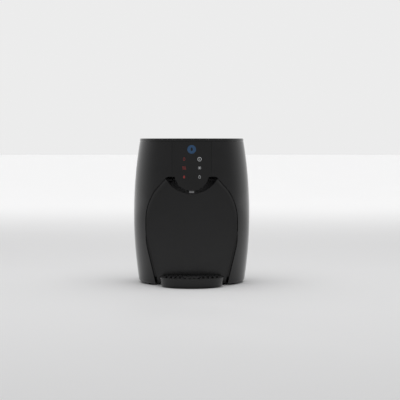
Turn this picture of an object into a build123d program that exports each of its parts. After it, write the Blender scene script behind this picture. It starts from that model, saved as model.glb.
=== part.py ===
"""Countertop water dispenser: a barrel-shaped housing with an oval dispensing recess, a touch panel
head with one nozzle, a slide-out drip tray, and the filter, tanks, valves and electronics inside.

Millimetres.  +Z is up, the front faces -Y, and the origin is on the counter under the middle of the
overall size.  Depths in the comments and in on_axis() count from the barrel's own vertical axis.
"""

import os
from math import radians, sqrt, tan

from build123d import *

# ---------------------------------------------------------------- driving dimensions
HEIGHT = 395.0
BELLY_R = 159.0  # widest radius of the barrel
BELLY_Z = 189.0  # height of the widest radius
PROFILE_R = 1180.0  # radius of the barrel's side arc
WALL = 3.0
GAP = 0.3  # clearance between separate mouldings
FOOT_H = 3.0  # height of the rubber feet, and of the housing's lower edge
LID_SEAM_Z = 387.0
REAR_D = 122.0  # the flat back stands this far behind the axis
REAR_REACH = 134.0  # the furthest fitting on the back stands this far behind the axis

# the dispensing recess
ARCH_Z = 293.5  # lower edge of the housing above the recess
RECESS_HALF_W = 124.2
RECESS_D = 96.0  # the splash wall's middle stands this far in front of the axis
SPLASH_R = 700.0  # the splash wall bulges forwards at this radius
LINER = 2.5

# the dispensing head
HEAD_W = 104.0  # width of the head's front between its two seams
TONGUE_R = 45.0  # half width of the raised tongue, and radius of its round end
TONGUE_Z = 301.5  # centre of the tongue's round end
TONGUE_PROUD = 6.0  # the touch panel's face stands this far proud of the barrel
PANEL_T = 2.0
FLARE_R = 79.0  # the head's underside widens to this radius at the splash wall
FLARE_Z = 324.5
NOZZLE_D = 149.0  # the nozzle's axis in front of the barrel's axis
NOZZLE_R = 8.0

# the drip tray
TRAY_HALF_W = 86.5
TRAY_FRONT_D = 200.0
TRAY_WIDE_D = 130.0  # depth of the tray's widest place
TRAY_TOP_Z = 26.0
TRAY_LOW_Z = 0.5
TRAY_BACK_X = 80.0  # half width of the tray's back, and its depth there
TRAY_BACK_D = 92.0
TRAY_CORNER_R = 4.0
TRAY_DRAFT = 13.0  # degrees by which the tray's sides lean in towards its foot
BODY_Y = (TRAY_FRONT_D - REAR_REACH) / 2  # the barrel's axis stands this far behind the origin
GRILLE_T = 3.0
SLOT_PITCH = 12.15
SLOT_W = 6.0
SLOTS = 12

BEYOND = 200.0  # cuts run this far out, clear of the housing on every side
ABOVE = 500.0  # cuts run up to this height, clear of the lid

FORWARDS = (0, -1, 0)
UP = (0, 0, 1)


def barrel_r(z):
    """Outer radius of the barrel at height z."""
    return BELLY_R - PROFILE_R + sqrt(PROFILE_R**2 - (z - BELLY_Z) ** 2)


def on_axis(x=0.0, back=0.0, z=0.0):
    """A point given from the barrel's axis: x to the right, back towards the wall, z up."""
    return (x, BODY_Y + back, z)


def level(z, x=0.0, back=0.0):
    """A horizontal plane at height z, centred on a point given from the barrel's axis."""
    return Plane(origin=on_axis(x, back, z), x_dir=(1, 0, 0), z_dir=(0, 0, 1))


def facing(front=0.0, x=0.0, z=0.0):
    """An upright plane that faces the user, `front` ahead of the axis: its x is X and its y is Z."""
    return Plane(origin=on_axis(x, -front, z), x_dir=(1, 0, 0), z_dir=(0, -1, 0))


def keep(solid, name):
    """Labels a finished sub-part and writes it as parts/NAME.step."""
    solid.label = name
    export_step(solid, f"parts/{name}.step")


def block(low, high, mode=Mode.ADD):
    """A box between two corners given from the barrel's axis."""
    size = [h - l for l, h in zip(low, high)]
    middle = [(h + l) / 2 for l, h in zip(low, high)]
    with Locations(on_axis(*middle)):
        Box(*size, mode=mode)


def post(x, back, low, high, radius, mode=Mode.ADD):
    """An upright cylinder between two heights."""
    with Locations(on_axis(x, back, (low + high) / 2)):
        Cylinder(radius, high - low, mode=mode)


def rod(x, z, front, rear, radius, mode=Mode.ADD):
    """A cylinder along Y, from `front` to `rear`, both counted backwards from the axis."""
    with Locations(Location(on_axis(x, (front + rear) / 2, z), (90, 0, 0))):
        Cylinder(radius, rear - front, mode=mode)


def barrel(inset, low, high):
    """The solid of revolution that lies `inset` inside the barrel's face, between two heights."""
    middle = (low + high) / 2
    with BuildPart() as solid:
        with BuildSketch(facing()):
            with BuildLine():
                ThreePointArc(
                    (barrel_r(low) - inset, low),
                    (barrel_r(middle) - inset, middle),
                    (barrel_r(high) - inset, high),
                )
                Polyline(
                    (barrel_r(high) - inset, high),
                    (0, high),
                    (0, low),
                    (barrel_r(low) - inset, low),
                )
            make_face()
        revolve(axis=Axis(on_axis(), (0, 0, 1)))
    return solid.part


def recess_outline(grow=0.0):
    """Front view of the dispensing recess: a flat top, two slanting shoulders and bowed sides."""
    with BuildSketch(facing()) as outline:
        with BuildLine():
            Line((0, ARCH_Z), (66, ARCH_Z))
            Line((66, ARCH_Z), (99, 256))
            TangentArc((RECESS_HALF_W, 175), (99, 256), tangent=(0, 1))
            Line((RECESS_HALF_W, 175), (RECESS_HALF_W, 135))
            TangentArc((RECESS_HALF_W, 135), (120.1, 100), tangent=(0, -1))
            Line((120.1, 100), (92.5, -12))
            Line((92.5, -12), (0, -12))
            mirror(about=Plane.YZ)
        make_face()
        shoulders = outline.vertices().group_by(Axis.Y)[-1]
        fillet(shoulders, 12)
        if grow:
            offset(amount=grow)
    return outline.sketch


def splash_solid(face_inset, low, high):
    """Everything behind the splash wall's face, which bulges forwards."""
    radius = SPLASH_R - face_inset
    with BuildPart() as solid:
        with BuildSketch(level(low, back=SPLASH_R - RECESS_D)):
            Circle(radius)
        extrude(amount=high - low)
    return solid.part


def recess_space(grow=0.0):
    """The space that is cut from the barrel to make the recess, open to the front and below."""
    outline = recess_outline(grow)
    behind = splash_solid(grow, -40, 420)
    with BuildPart() as space:
        extrude(outline, amount=BEYOND, dir=FORWARDS)
        add(behind, mode=Mode.SUBTRACT)
    return space.part


def tongue_outline(grow=0.0):
    """Front view of the head's tongue: straight sides with a round lower end."""
    with BuildSketch(facing()) as outline:
        with Locations((0, TONGUE_Z)):
            Circle(TONGUE_R + grow)
        with Locations((0, (TONGUE_Z + LID_SEAM_Z) / 2)):
            Rectangle(2 * (TONGUE_R + grow), LID_SEAM_Z - TONGUE_Z)
    return outline.sketch


def tray_outline(z, inset=0.0):
    """The drip tray's plan at height z: an oval front, sides that draw in, a back along the wall."""
    wide = TRAY_HALF_W - inset
    back_x = TRAY_BACK_X - inset
    back_y = -TRAY_BACK_D - inset
    with BuildSketch(level(z)) as outline:
        with BuildLine():
            EllipticalCenterArc(
                (0, -TRAY_WIDE_D),
                wide,
                TRAY_FRONT_D - TRAY_WIDE_D - inset,
                start_angle=180,
                arc_size=180,
            )
            Line((wide, -TRAY_WIDE_D), (back_x, back_y))
            ThreePointArc((back_x, back_y), (0, -RECESS_D - 1 - inset), (-back_x, back_y))
            Line((-back_x, back_y), (-wide, -TRAY_WIDE_D))
        make_face()
        corners = [v for v in outline.vertices() if v.Y > -TRAY_WIDE_D + 5]
        fillet(corners, TRAY_CORNER_R)
    return outline.sketch


os.makedirs("parts", exist_ok=True)


# ---------------------------------------------------------------- housing
TOP_Z = LID_SEAM_Z - GAP
DECK_T = 3.0
DECK_OPENING_R = 110.0  # opening under the lid, for changing the filter
REAR_COVER_T = 3.0
LEDGE_T = 3.0
LEDGE_W = 8.0
HEAD_BACK = 116.0  # the head's casing reaches this near to the axis
SLOT_HALF = HEAD_W / 2 + GAP
SPOUT_HOLE_Z = 278.0
REAR_SCREWS = [(x, z) for z in (70.0, 300.0) for x in (-74.0, 74.0)]
REAR_SCREWS += [(-40.0, 376.0), (40.0, 376.0)]

recess = recess_space()
recess_and_liner = recess_space(LINER)
recess_clear = recess_space(LINER + GAP)
inside = barrel(WALL + GAP, FOOT_H, TOP_Z - DECK_T - GAP)
full_barrel = barrel(0, FOOT_H, TOP_Z)
hollow_barrel = barrel(WALL, -10, TOP_Z - DECK_T)
ledge_disc = barrel(WALL - 1, FOOT_H + 6, TOP_Z - 1)
ledge_opening = barrel(WALL + LEDGE_W, FOOT_H + 14, TOP_Z - DECK_T - LEDGE_W)
LEDGE_FRONT = REAR_D - REAR_COVER_T - GAP - LEDGE_T

with BuildPart() as rear_ledge:
    add(ledge_disc)
    add(ledge_opening, mode=Mode.SUBTRACT)
    block((-BEYOND, -BEYOND, -10), (BEYOND, LEDGE_FRONT, ABOVE), mode=Mode.SUBTRACT)
    block((-BEYOND, LEDGE_FRONT + LEDGE_T, -10), (BEYOND, BEYOND, ABOVE), mode=Mode.SUBTRACT)

with BuildPart() as outer_shell:
    add(full_barrel)
    fillet(outer_shell.edges().filter_by(GeomType.CIRCLE).group_by(Axis.Z)[0], 8)
    add(hollow_barrel, mode=Mode.SUBTRACT)
    post(0, 0, TOP_Z - DECK_T - 1, TOP_Z + 1, DECK_OPENING_R, mode=Mode.SUBTRACT)
    block((-BEYOND, REAR_D, -10), (BEYOND, BEYOND, ABOVE), mode=Mode.SUBTRACT)
    add(rear_ledge.part)
    add(recess, mode=Mode.SUBTRACT)
    block((-SLOT_HALF, -BEYOND, ARCH_Z - 10), (SLOT_HALF, -HEAD_BACK, ABOVE), mode=Mode.SUBTRACT)
    for x, z in REAR_SCREWS:
        rod(x, z, LEDGE_FRONT - 1, LEDGE_FRONT + LEDGE_T + 1, 1.55, mode=Mode.SUBTRACT)
keep(outer_shell.part, "outer_shell")

with BuildPart() as splash_liner:
    add(recess_and_liner)
    add(inside, mode=Mode.INTERSECT)
    add(recess, mode=Mode.SUBTRACT)
    block((-BEYOND, -BEYOND, 0), (BEYOND, 0, FOOT_H + 4.5), mode=Mode.SUBTRACT)
    block((-SLOT_HALF, -BEYOND, ARCH_Z - 10), (SLOT_HALF, -HEAD_BACK, ABOVE), mode=Mode.SUBTRACT)
    rod(0, SPOUT_HOLE_Z, -102, -88, 9, mode=Mode.SUBTRACT)
keep(splash_liner.part, "splash_liner")

# ---------------------------------------------------------------- lid
LID_SPIGOT = 4.0  # depth of the ring under the lid that locates it in the deck's opening
LID_SKIN = 2.5

with BuildPart() as lid_tongue:
    post(0, 0, LID_SEAM_Z, HEIGHT, barrel_r(LID_SEAM_Z) + TONGUE_PROUD)
    block((-TONGUE_R, -BEYOND, 300), (TONGUE_R, -100, ABOVE), mode=Mode.INTERSECT)

with BuildPart() as top_lid:
    post(0, 0, LID_SEAM_Z, HEIGHT, barrel_r(LID_SEAM_Z))
    block((-BEYOND, REAR_D, 380), (BEYOND, BEYOND, ABOVE), mode=Mode.SUBTRACT)
    add(lid_tongue.part)
    fillet(top_lid.faces().sort_by(Axis.Z)[-1].edges(), 5.5)
    post(0, 0, LID_SEAM_Z - 0.01, HEIGHT - LID_SKIN, 104, mode=Mode.SUBTRACT)
    with BuildSketch(level(LID_SEAM_Z - LID_SPIGOT)):
        Circle(DECK_OPENING_R - GAP)
        Circle(DECK_OPENING_R - GAP - 3, mode=Mode.SUBTRACT)
    extrude(amount=LID_SPIGOT + 0.5)
keep(top_lid.part, "top_lid")

# ---------------------------------------------------------------- back
FITTINGS_Z = 40.0
MAINS_X = -40.0
SWITCH_X = (-8.0, 12.0)
INLET_X = 33.0
DRAIN_X = 52.0
VENT_X = 56.0
VENT_ROWS = 13
VENT_PITCH = 9.0
VENT_MIDDLE_Z = 205.0
VENT_H = 3.2

rear_disc = barrel(WALL + GAP, FOOT_H + 4, TOP_Z - DECK_T - GAP)
with BuildPart() as rear_cover:
    add(rear_disc)
    block((-BEYOND, -BEYOND, -10), (BEYOND, REAR_D - REAR_COVER_T, ABOVE), mode=Mode.SUBTRACT)
    block((-BEYOND, REAR_D, -10), (BEYOND, BEYOND, ABOVE), mode=Mode.SUBTRACT)
    with BuildSketch(facing(-REAR_D - 1)):
        with Locations((0, VENT_MIDDLE_Z)):
            with GridLocations(0, VENT_PITCH, 1, VENT_ROWS):
                SlotOverall(2 * VENT_X, VENT_H)
        with Locations((MAINS_X, FITTINGS_Z)):
            RectangleRounded(28, 20.5, 2)
        for x in SWITCH_X:
            with Locations((x, FITTINGS_Z)):
                Rectangle(13.4, 19.4)
        with Locations((INLET_X, FITTINGS_Z), (DRAIN_X, FITTINGS_Z)):
            Circle(7.1)
        with Locations(*REAR_SCREWS):
            Circle(1.7)
    extrude(amount=REAR_COVER_T + 2, dir=FORWARDS, mode=Mode.SUBTRACT)
keep(rear_cover.part, "rear_cover")

with BuildPart() as rear_screws:
    for x, z in REAR_SCREWS:
        rod(x, z, REAR_D - REAR_COVER_T - 5, REAR_D, 1.5)
        rod(x, z, REAR_D, REAR_D + 1.8, 3)
keep(rear_screws.part, "rear_cover_screws")

# ---------------------------------------------------------------- base
BASE_TOP = FOOT_H + 4.0
SHELF_Z = 110.0
SHELF_T = 3.0
POSTS = [(-96, 74), (-66, -68), (98, -20), (96, 74)]
POWER_Z = 14.0  # underside of the power board
BOARD_FEET = [(x, back) for x in (-80.0, -15.0) for back in (-5.0, 70.0)]
FEET = [(-108, -62), (108, -62), (-78, 88), (78, 88)]
DOCK_X = 40.0
DOCK_W = 14.0

base_disc = barrel(WALL + GAP, FOOT_H + 1.3, BASE_TOP)
with BuildPart() as base_plate:
    add(base_disc)
    block((-BEYOND, LEDGE_FRONT - GAP, -10), (BEYOND, BEYOND, ABOVE), mode=Mode.SUBTRACT)
    add(recess_clear, mode=Mode.SUBTRACT)
    for x, back in BOARD_FEET:
        post(x, back, BASE_TOP, POWER_Z, 3.5)
        post(x, back, BASE_TOP + 1, POWER_Z, 1.1, mode=Mode.SUBTRACT)
    for x, back in POSTS:
        post(x, back, BASE_TOP, SHELF_Z, 6)
        post(x, back, SHELF_Z - 14, SHELF_Z, 1.6, mode=Mode.SUBTRACT)
    for side in (-1, 1):
        middle = side * DOCK_X
        block((middle - DOCK_W / 2, -104, FOOT_H + 1.3), (middle + DOCK_W / 2, -80, BASE_TOP))
keep(base_plate.part, "base_plate")

with BuildPart() as rubber_feet:
    for x, back in FEET:
        post(x, back, 0, FOOT_H + 1.3, 9)
    fillet(rubber_feet.edges().group_by(Axis.Z)[0], 1)
keep(rubber_feet.part, "rubber_feet")

with BuildPart() as tank_shelf:
    with BuildSketch(level(SHELF_Z)):
        Circle(132)
        with Locations((0, -190)):
            Rectangle(400, 220, mode=Mode.SUBTRACT)
        with Locations((0, 210)):
            Rectangle(400, 220, mode=Mode.SUBTRACT)
        with Locations(*POSTS):
            Circle(1.8, mode=Mode.SUBTRACT)
        with Locations((-54, 8), (78, 42), (52, -38)):
            Circle(9, mode=Mode.SUBTRACT)
        with Locations((0, -66)):
            Circle(8, mode=Mode.SUBTRACT)
        with Locations((20, 84)):
            Circle(10, mode=Mode.SUBTRACT)
        with Locations((-2, 88), (104, -2), (64, 52)):
            Circle(6, mode=Mode.SUBTRACT)
    extrude(amount=SHELF_T)
keep(tank_shelf.part, "tank_shelf")

with BuildPart() as shelf_screws:
    for x, back in POSTS:
        post(x, back, SHELF_Z - 10, SHELF_Z + SHELF_T, 1.5)
        post(x, back, SHELF_Z + SHELF_T, SHELF_Z + SHELF_T + 2, 3)
keep(shelf_screws.part, "shelf_screws")

# ---------------------------------------------------------------- drip tray and grille
TRAY_WALL = 2.4
TRAY_FLOOR = 2.5
GRILLE_LEDGE = 2.0
CUP_REST_R = 26.0
GRILLE_RIM = 9.4  # the slots stop this far inside the tray's rim
SLOT_BACK_D = 103.0
TRAY_BEVEL = 3.5  # height of the steeper band round the tray's foot

LEAN = tan(radians(TRAY_DRAFT))
HEEL_Z = TRAY_LOW_Z + TRAY_BEVEL
HEEL_INSET = (TRAY_TOP_Z - HEEL_Z) * LEAN
FLOOR_Z = TRAY_LOW_Z + TRAY_FLOOR
SEAT_Z = TRAY_TOP_Z - GRILLE_T
CUP_INSET = TRAY_WALL + GRILLE_LEDGE

tray_rim = tray_outline(TRAY_TOP_Z)
tray_heel = tray_outline(HEEL_Z, HEEL_INSET)
tray_foot = tray_outline(TRAY_LOW_Z, HEEL_INSET + TRAY_BEVEL)
tray_seat = tray_outline(SEAT_Z, TRAY_WALL)
tray_cup = tray_outline(SEAT_Z, CUP_INSET)
tray_floor = tray_outline(FLOOR_Z, CUP_INSET + (SEAT_Z - FLOOR_Z) * LEAN)
with BuildPart() as drip_tray:
    loft([tray_rim, tray_heel])
    loft([tray_heel, tray_foot])
    extrude(tray_seat, amount=GRILLE_T, dir=UP, mode=Mode.SUBTRACT)
    loft([tray_cup, tray_floor], mode=Mode.SUBTRACT)
    for side in (-1, 1):
        middle = side * DOCK_X
        half = DOCK_W / 2 + GAP
        block((middle - half - 2, -108, TRAY_LOW_Z), (middle + half + 2, -99, BASE_TOP + 3))
        block((middle - half, -106, -1), (middle + half, -80, BASE_TOP + GAP), mode=Mode.SUBTRACT)
keep(drip_tray.part, "drip_tray")

grille_plan = tray_outline(SEAT_Z, TRAY_WALL + GAP)
with BuildSketch(level(0)) as slots:
    for i in range(SLOTS):
        x = (i - (SLOTS - 1) / 2) * SLOT_PITCH
        reach = sqrt(1 - (x / (TRAY_HALF_W - GRILLE_RIM)) ** 2)
        front = TRAY_WIDE_D + (TRAY_FRONT_D - TRAY_WIDE_D - GRILLE_RIM) * reach
        with Locations((x, -(front + SLOT_BACK_D) / 2)):
            SlotOverall(front - SLOT_BACK_D, SLOT_W, rotation=90)
    with Locations((0, -TRAY_WIDE_D - 4)):
        Circle(CUP_REST_R, mode=Mode.SUBTRACT)
with BuildPart() as drip_grille:
    extrude(grille_plan, amount=GRILLE_T, dir=UP)
    extrude(slots.sketch, amount=HEIGHT, dir=UP, mode=Mode.SUBTRACT)
    post(0, -TRAY_WIDE_D - 4, TRAY_TOP_Z - 1, TRAY_TOP_Z + 0.8, CUP_REST_R - 2)
keep(drip_grille.part, "drip_grille")

# ---------------------------------------------------------------- dispensing head
HEAD_HALF = HEAD_W / 2
HEAD_LOW_Z = 240.0
HEAD_WALL = 3.0
NOSE_FRONT = 154.0  # the nose keeps the tongue's outline from here forwards
NOSE_BACK = RECESS_D + 1.5
NOSE_TOP = ARCH_Z - GAP
BOARD_D = 128.0
BOARD_POSTS = [(x, z) for x in (-33.0, 33.0) for z in (308.0, 372.0)]
NOZZLE_TIP_Z = 250.5
NOZZLE_TOP_Z = 270.0
SOCKET_TOP_Z = 290.0


def head_section(front, radius, z):
    """Front view of the head's nose at one depth: a circle under a block that ends at the canopy."""
    with BuildSketch(facing(front)) as section:
        with Locations((0, z)):
            Circle(radius)
        with Locations((0, 350)):
            Rectangle(2 * radius, 2 * (350 - z))
    return section.sketch


nose_front = head_section(NOSE_FRONT, TONGUE_R, TONGUE_Z)
nose_back = head_section(NOSE_BACK, FLARE_R, FLARE_Z)
hollow_front = head_section(NOSE_FRONT - 4, TONGUE_R - HEAD_WALL, TONGUE_Z)
hollow_back = head_section(NOSE_BACK - 1, FLARE_R - HEAD_WALL - 2, FLARE_Z)
under_panel = barrel(-TONGUE_PROUD + PANEL_T, HEAD_LOW_Z, TOP_Z)
panel_face = barrel(-TONGUE_PROUD, HEAD_LOW_Z, TOP_Z)
head_skin = barrel(0, NOSE_TOP, TOP_Z)
head_inner = barrel(HEAD_WALL, NOSE_TOP - 10, TOP_Z - HEAD_WALL)
recess_inner = recess_space(-GAP)
tongue = tongue_outline()

with BuildPart() as nose_shape:
    loft([nose_front, nose_back])
    add(recess_inner, mode=Mode.INTERSECT)
    add(under_panel, mode=Mode.INTERSECT)
    block((-BEYOND, -BEYOND, NOSE_TOP), (BEYOND, 0, ABOVE), mode=Mode.SUBTRACT)

with BuildPart() as nose_hollow:
    loft([hollow_front, hollow_back])
    block((-BEYOND, -BEYOND, NOSE_TOP - HEAD_WALL), (BEYOND, 0, ABOVE), mode=Mode.SUBTRACT)
    block((-58, -BEYOND, 0), (58, 0, ABOVE), mode=Mode.INTERSECT)

with BuildPart() as casing_hollow:
    add(head_inner)
    half = HEAD_HALF - HEAD_WALL
    block((-half, -BEYOND, NOSE_TOP - 10), (half, -HEAD_BACK + 1, ABOVE), mode=Mode.INTERSECT)
    block((-BEYOND, -BEYOND, 0), (BEYOND, BEYOND, NOSE_TOP + HEAD_WALL), mode=Mode.SUBTRACT)

with BuildPart() as tongue_shape:
    extrude(tongue, amount=BEYOND, dir=FORWARDS)
    block((-BEYOND, -140, 0), (BEYOND, 20, ABOVE), mode=Mode.SUBTRACT)
    add(under_panel, mode=Mode.INTERSECT)

with BuildPart() as head_housing:
    add(head_skin)
    block((-HEAD_HALF, -BEYOND, 0), (HEAD_HALF, -HEAD_BACK, ABOVE), mode=Mode.INTERSECT)
    add(tongue_shape.part)
    add(nose_shape.part)
    add(casing_hollow.part, mode=Mode.SUBTRACT)
    add(nose_hollow.part, mode=Mode.SUBTRACT)
    block((-30, -140, NOSE_TOP - 5), (30, -HEAD_BACK - 4, NOSE_TOP + 5), mode=Mode.SUBTRACT)
    post(0, -NOZZLE_D, 258, SOCKET_TOP_Z, 10)
    post(0, -NOZZLE_D, 240, SOCKET_TOP_Z - 3, NOZZLE_R + 0.06, mode=Mode.SUBTRACT)
    rod(0, SPOUT_HOLE_Z, -NOZZLE_D, -NOZZLE_D + 12, 2.2, mode=Mode.SUBTRACT)
    for x, z in BOARD_POSTS:
        rod(x, z, 1 - sqrt(barrel_r(z) ** 2 - x**2), -BOARD_D, 3.5)
        rod(x, z, -BOARD_D - 9, -BOARD_D, 1.1, mode=Mode.SUBTRACT)
keep(head_housing.part, "head_housing")

with BuildPart() as touch_panel:
    extrude(tongue, amount=BEYOND, dir=FORWARDS)
    block((-BEYOND, -130, 0), (BEYOND, 20, ABOVE), mode=Mode.SUBTRACT)
    add(panel_face, mode=Mode.INTERSECT)
    add(under_panel, mode=Mode.SUBTRACT)
keep(touch_panel.part, "touch_panel")

with BuildPart() as nozzle:
    post(0, -NOZZLE_D, NOZZLE_TIP_Z, NOZZLE_TOP_Z, NOZZLE_R)
    chamfer(nozzle.edges().group_by(Axis.Z)[0], 1.5)
    post(0, -NOZZLE_D, 0, ABOVE, 4, mode=Mode.SUBTRACT)
keep(nozzle.part, "nozzle")

with BuildPart() as touch_board:
    block((-40, -BOARD_D, 302), (40, -BOARD_D + 1.6, 378))
    for x, z in BOARD_POSTS:
        rod(x, z, -BOARD_D - 1, -BOARD_D + 3, 1.3, mode=Mode.SUBTRACT)
    for side in (-1, 1):
        for z in (317, 340, 362):
            rod(side * 20, z, -BOARD_D - 2.5, -BOARD_D, 5)
    block((-12, -BOARD_D + 1.6, 306), (12, -BOARD_D + 6, 312))
keep(touch_board.part, "touch_board")

with BuildPart() as board_screws:
    for x, z in BOARD_POSTS:
        rod(x, z, -BOARD_D - 7, -BOARD_D + 1.6, 1)
        rod(x, z, -BOARD_D + 1.6, -BOARD_D + 3, 2.2)
keep(board_screws.part, "board_screws")

# ---------------------------------------------------------------- tanks
SHELF_TOP = SHELF_Z + SHELF_T
COLD = (-54.0, 8.0)
COLD_R = 50.0
COLD_LOW_Z = SHELF_TOP + 16
COLD_HIGH_Z = 338.0
FOAM_R = 64.0
HOT = (78.0, 42.0)
HOT_R = 32.0
HOT_LOW_Z = SHELF_TOP + 18
HOT_HIGH_Z = 300.0
STEEL_T = 1.2
PORT_R = 4.0
TUBE_R = 3.2
TUBE_WALL = 1.0
TUBE_BEND = 7.0


def can(centre, low, high, radius, rounding):
    """A closed upright drum with rounded ends."""
    with BuildPart() as drum:
        post(*centre, low, high, radius)
        fillet(drum.edges().filter_by(GeomType.CIRCLE), rounding)
    return drum.part


def tube(points):
    """A water tube along straight runs joined by tangent bends."""
    route = [on_axis(*point) for point in points]
    with BuildPart() as hose:
        with BuildLine():
            if len(route) > 2:
                path = FilletPolyline(*route, radius=TUBE_BEND)
            else:
                path = Line(*route)
        with BuildSketch(Plane(origin=path @ 0, z_dir=path % 0)):
            Circle(TUBE_R)
            Circle(TUBE_R - TUBE_WALL, mode=Mode.SUBTRACT)
        sweep()
    return hose.part


cold_inner = can(COLD, COLD_LOW_Z + STEEL_T, COLD_HIGH_Z - STEEL_T, COLD_R - STEEL_T, 7)
cold_outer = can(COLD, COLD_LOW_Z, COLD_HIGH_Z, COLD_R, 8)
hot_inner = can(HOT, HOT_LOW_Z + STEEL_T, HOT_HIGH_Z - STEEL_T, HOT_R - STEEL_T, 7)
hot_outer = can(HOT, HOT_LOW_Z, HOT_HIGH_Z, HOT_R, 8)
COLD_FEED = (COLD[0] + 20, COLD[1])
HOT_DRAW = (HOT[0] - 10, HOT[1])
HOT_DRAIN = (HOT[0] - 14, HOT[1] + 10)

with BuildPart() as cold_tank:
    add(cold_outer)
    post(*COLD, SHELF_Z - 8, COLD_LOW_Z + 0.5, PORT_R)
    post(*COLD_FEED, COLD_HIGH_Z - 0.5, COLD_HIGH_Z + 22, PORT_R)
    add(cold_inner, mode=Mode.SUBTRACT)
    post(*COLD, SHELF_Z - 9, COLD_LOW_Z + 3, PORT_R - 1, mode=Mode.SUBTRACT)
    post(*COLD_FEED, COLD_HIGH_Z - 3, COLD_HIGH_Z + 23, PORT_R - 1, mode=Mode.SUBTRACT)
keep(cold_tank.part, "cold_tank")

COOLER_HALF = 20.0
COOL_Z = 201.0  # height of the cooling block's and the fan's middle
with BuildPart() as foam:
    post(*COLD, SHELF_TOP, COLD_HIGH_Z + 14, FOAM_R)
    post(*COLD, COLD_LOW_Z - GAP, COLD_HIGH_Z + GAP, COLD_R + GAP, mode=Mode.SUBTRACT)
    post(*COLD, 0, COLD_LOW_Z, PORT_R + GAP, mode=Mode.SUBTRACT)
    post(*COLD_FEED, COLD_HIGH_Z, ABOVE, PORT_R + GAP, mode=Mode.SUBTRACT)
    half = COOLER_HALF + GAP
    low = (COLD[0] - half, COLD[1] + 30, COOL_Z - half)
    block(low, (COLD[0] + half, 150, COOL_Z + half), mode=Mode.SUBTRACT)

for name, side in (("insulation_front", -1), ("insulation_rear", 1)):
    with BuildPart() as foam_half:
        add(foam.part)
        near, far = sorted((COLD[1] + side * GAP / 2, COLD[1] + side * 200))
        block((-300, near, 0), (300, far, ABOVE), mode=Mode.INTERSECT)
    keep(foam_half.part, name)

SINK_D = 82.0  # depth of the heat sink's base plate
SINK_T = 4.0
FAN_D = 102.0
FAN_T = 12.0
FAN_R = 33.0
FAN_X = COLD[0]

with BuildPart() as cooling_block:
    half = COOLER_HALF
    block((COLD[0] - half, COLD[1] + 30, COOL_Z - half), (COLD[0] + half, SINK_D, COOL_Z + half))
    post(*COLD, 0, ABOVE, COLD_R + 0.05, mode=Mode.SUBTRACT)
keep(cooling_block.part, "cooling_block")

with BuildPart() as heat_sink:
    block((FAN_X - 34, SINK_D, COOL_Z - 34), (FAN_X + 34, SINK_D + SINK_T, COOL_Z + 34))
    for i in range(12):
        left = FAN_X - 34 + i * 6.0
        block((left, SINK_D + SINK_T, COOL_Z - 34), (left + 1.4, FAN_D - 0.4, COOL_Z + 34))
keep(heat_sink.part, "heat_sink")

with BuildPart() as fan_frame:
    block((FAN_X - 35, FAN_D, COOL_Z - 35), (FAN_X + 35, FAN_D + FAN_T, COOL_Z + 35))
    fillet(fan_frame.edges().filter_by(Axis.Y), 3)
    rod(FAN_X, COOL_Z, FAN_D - 1, FAN_D + FAN_T + 1, FAN_R, mode=Mode.SUBTRACT)
    for angle in (0, 90):
        with Locations(Location(on_axis(FAN_X, FAN_D + 1.1, COOL_Z), (0, angle + 45, 0))):
            Box(2 * FAN_R + 2, 2, 3)
    rod(FAN_X, COOL_Z, FAN_D + 0.1, FAN_D + 2.1, 12)
    rod(FAN_X, COOL_Z, FAN_D + 2, FAN_D + FAN_T - 2, 1.5)
keep(fan_frame.part, "fan_frame")

with BuildPart() as fan_rotor:
    rod(FAN_X, COOL_Z, FAN_D + 2.8, FAN_D + FAN_T - 1, 12)
    for i in range(7):
        turn = Location(on_axis(FAN_X, FAN_D + 7, COOL_Z), (0, i * 360 / 7, 0))
        with Locations(turn * Location((21, 0, 0), (32, 0, 0))):
            Box(21, 1.6, 13)
    rod(FAN_X, COOL_Z, FAN_D, FAN_D + FAN_T, 32, mode=Mode.INTERSECT)
    rod(FAN_X, COOL_Z, FAN_D + 2, FAN_D + FAN_T - 1.8, 1.55, mode=Mode.SUBTRACT)
keep(fan_rotor.part, "fan_rotor")

with BuildPart() as hot_tank:
    add(hot_outer)
    for port in (HOT, HOT_DRAIN):
        post(*port, SHELF_Z - 8, HOT_LOW_Z + 2, PORT_R)
    post(*HOT_DRAW, HOT_HIGH_Z - 0.5, HOT_HIGH_Z + 22, PORT_R)
    for side in (-1, 1):
        x, back = HOT[0], HOT[1] + side * 24
        post(x, back, SHELF_TOP, HOT_LOW_Z + 8, 4)
    add(hot_inner, mode=Mode.SUBTRACT)
    for port in (HOT, HOT_DRAIN):
        post(*port, SHELF_Z - 9, HOT_LOW_Z + 3, PORT_R - 1, mode=Mode.SUBTRACT)
    post(*HOT_DRAW, HOT_HIGH_Z - 3, HOT_HIGH_Z + 23, PORT_R - 1, mode=Mode.SUBTRACT)
keep(hot_tank.part, "hot_tank")

with BuildPart() as heater_band:
    post(*HOT, 160, 205, HOT_R + 3)
    post(*HOT, 150, 220, HOT_R + 0.05, mode=Mode.SUBTRACT)
    block((HOT[0] + 25, HOT[1] - 2, 150), (150, HOT[1] + 2, 220), mode=Mode.SUBTRACT)
    for z in (170, 195):
        block((HOT[0] - 5, HOT[1] + HOT_R + 1, z - 4), (HOT[0] + 5, HOT[1] + HOT_R + 8, z + 4))
keep(heater_band.part, "heater_band")

with BuildPart() as thermostat:
    with Locations(Location(on_axis(HOT[0], HOT[1] - HOT_R - 5, 240), (90, 0, 0))):
        Cylinder(9, 12)
    post(*HOT, BEYOND, 280, HOT_R + 0.05, mode=Mode.SUBTRACT)
    for side in (-1, 1):
        x = HOT[0] + side * 4
        block((x - 1.5, HOT[1] - HOT_R - 17, 239), (x + 1.5, HOT[1] - HOT_R - 10, 241))
keep(thermostat.part, "thermostat")

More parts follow.
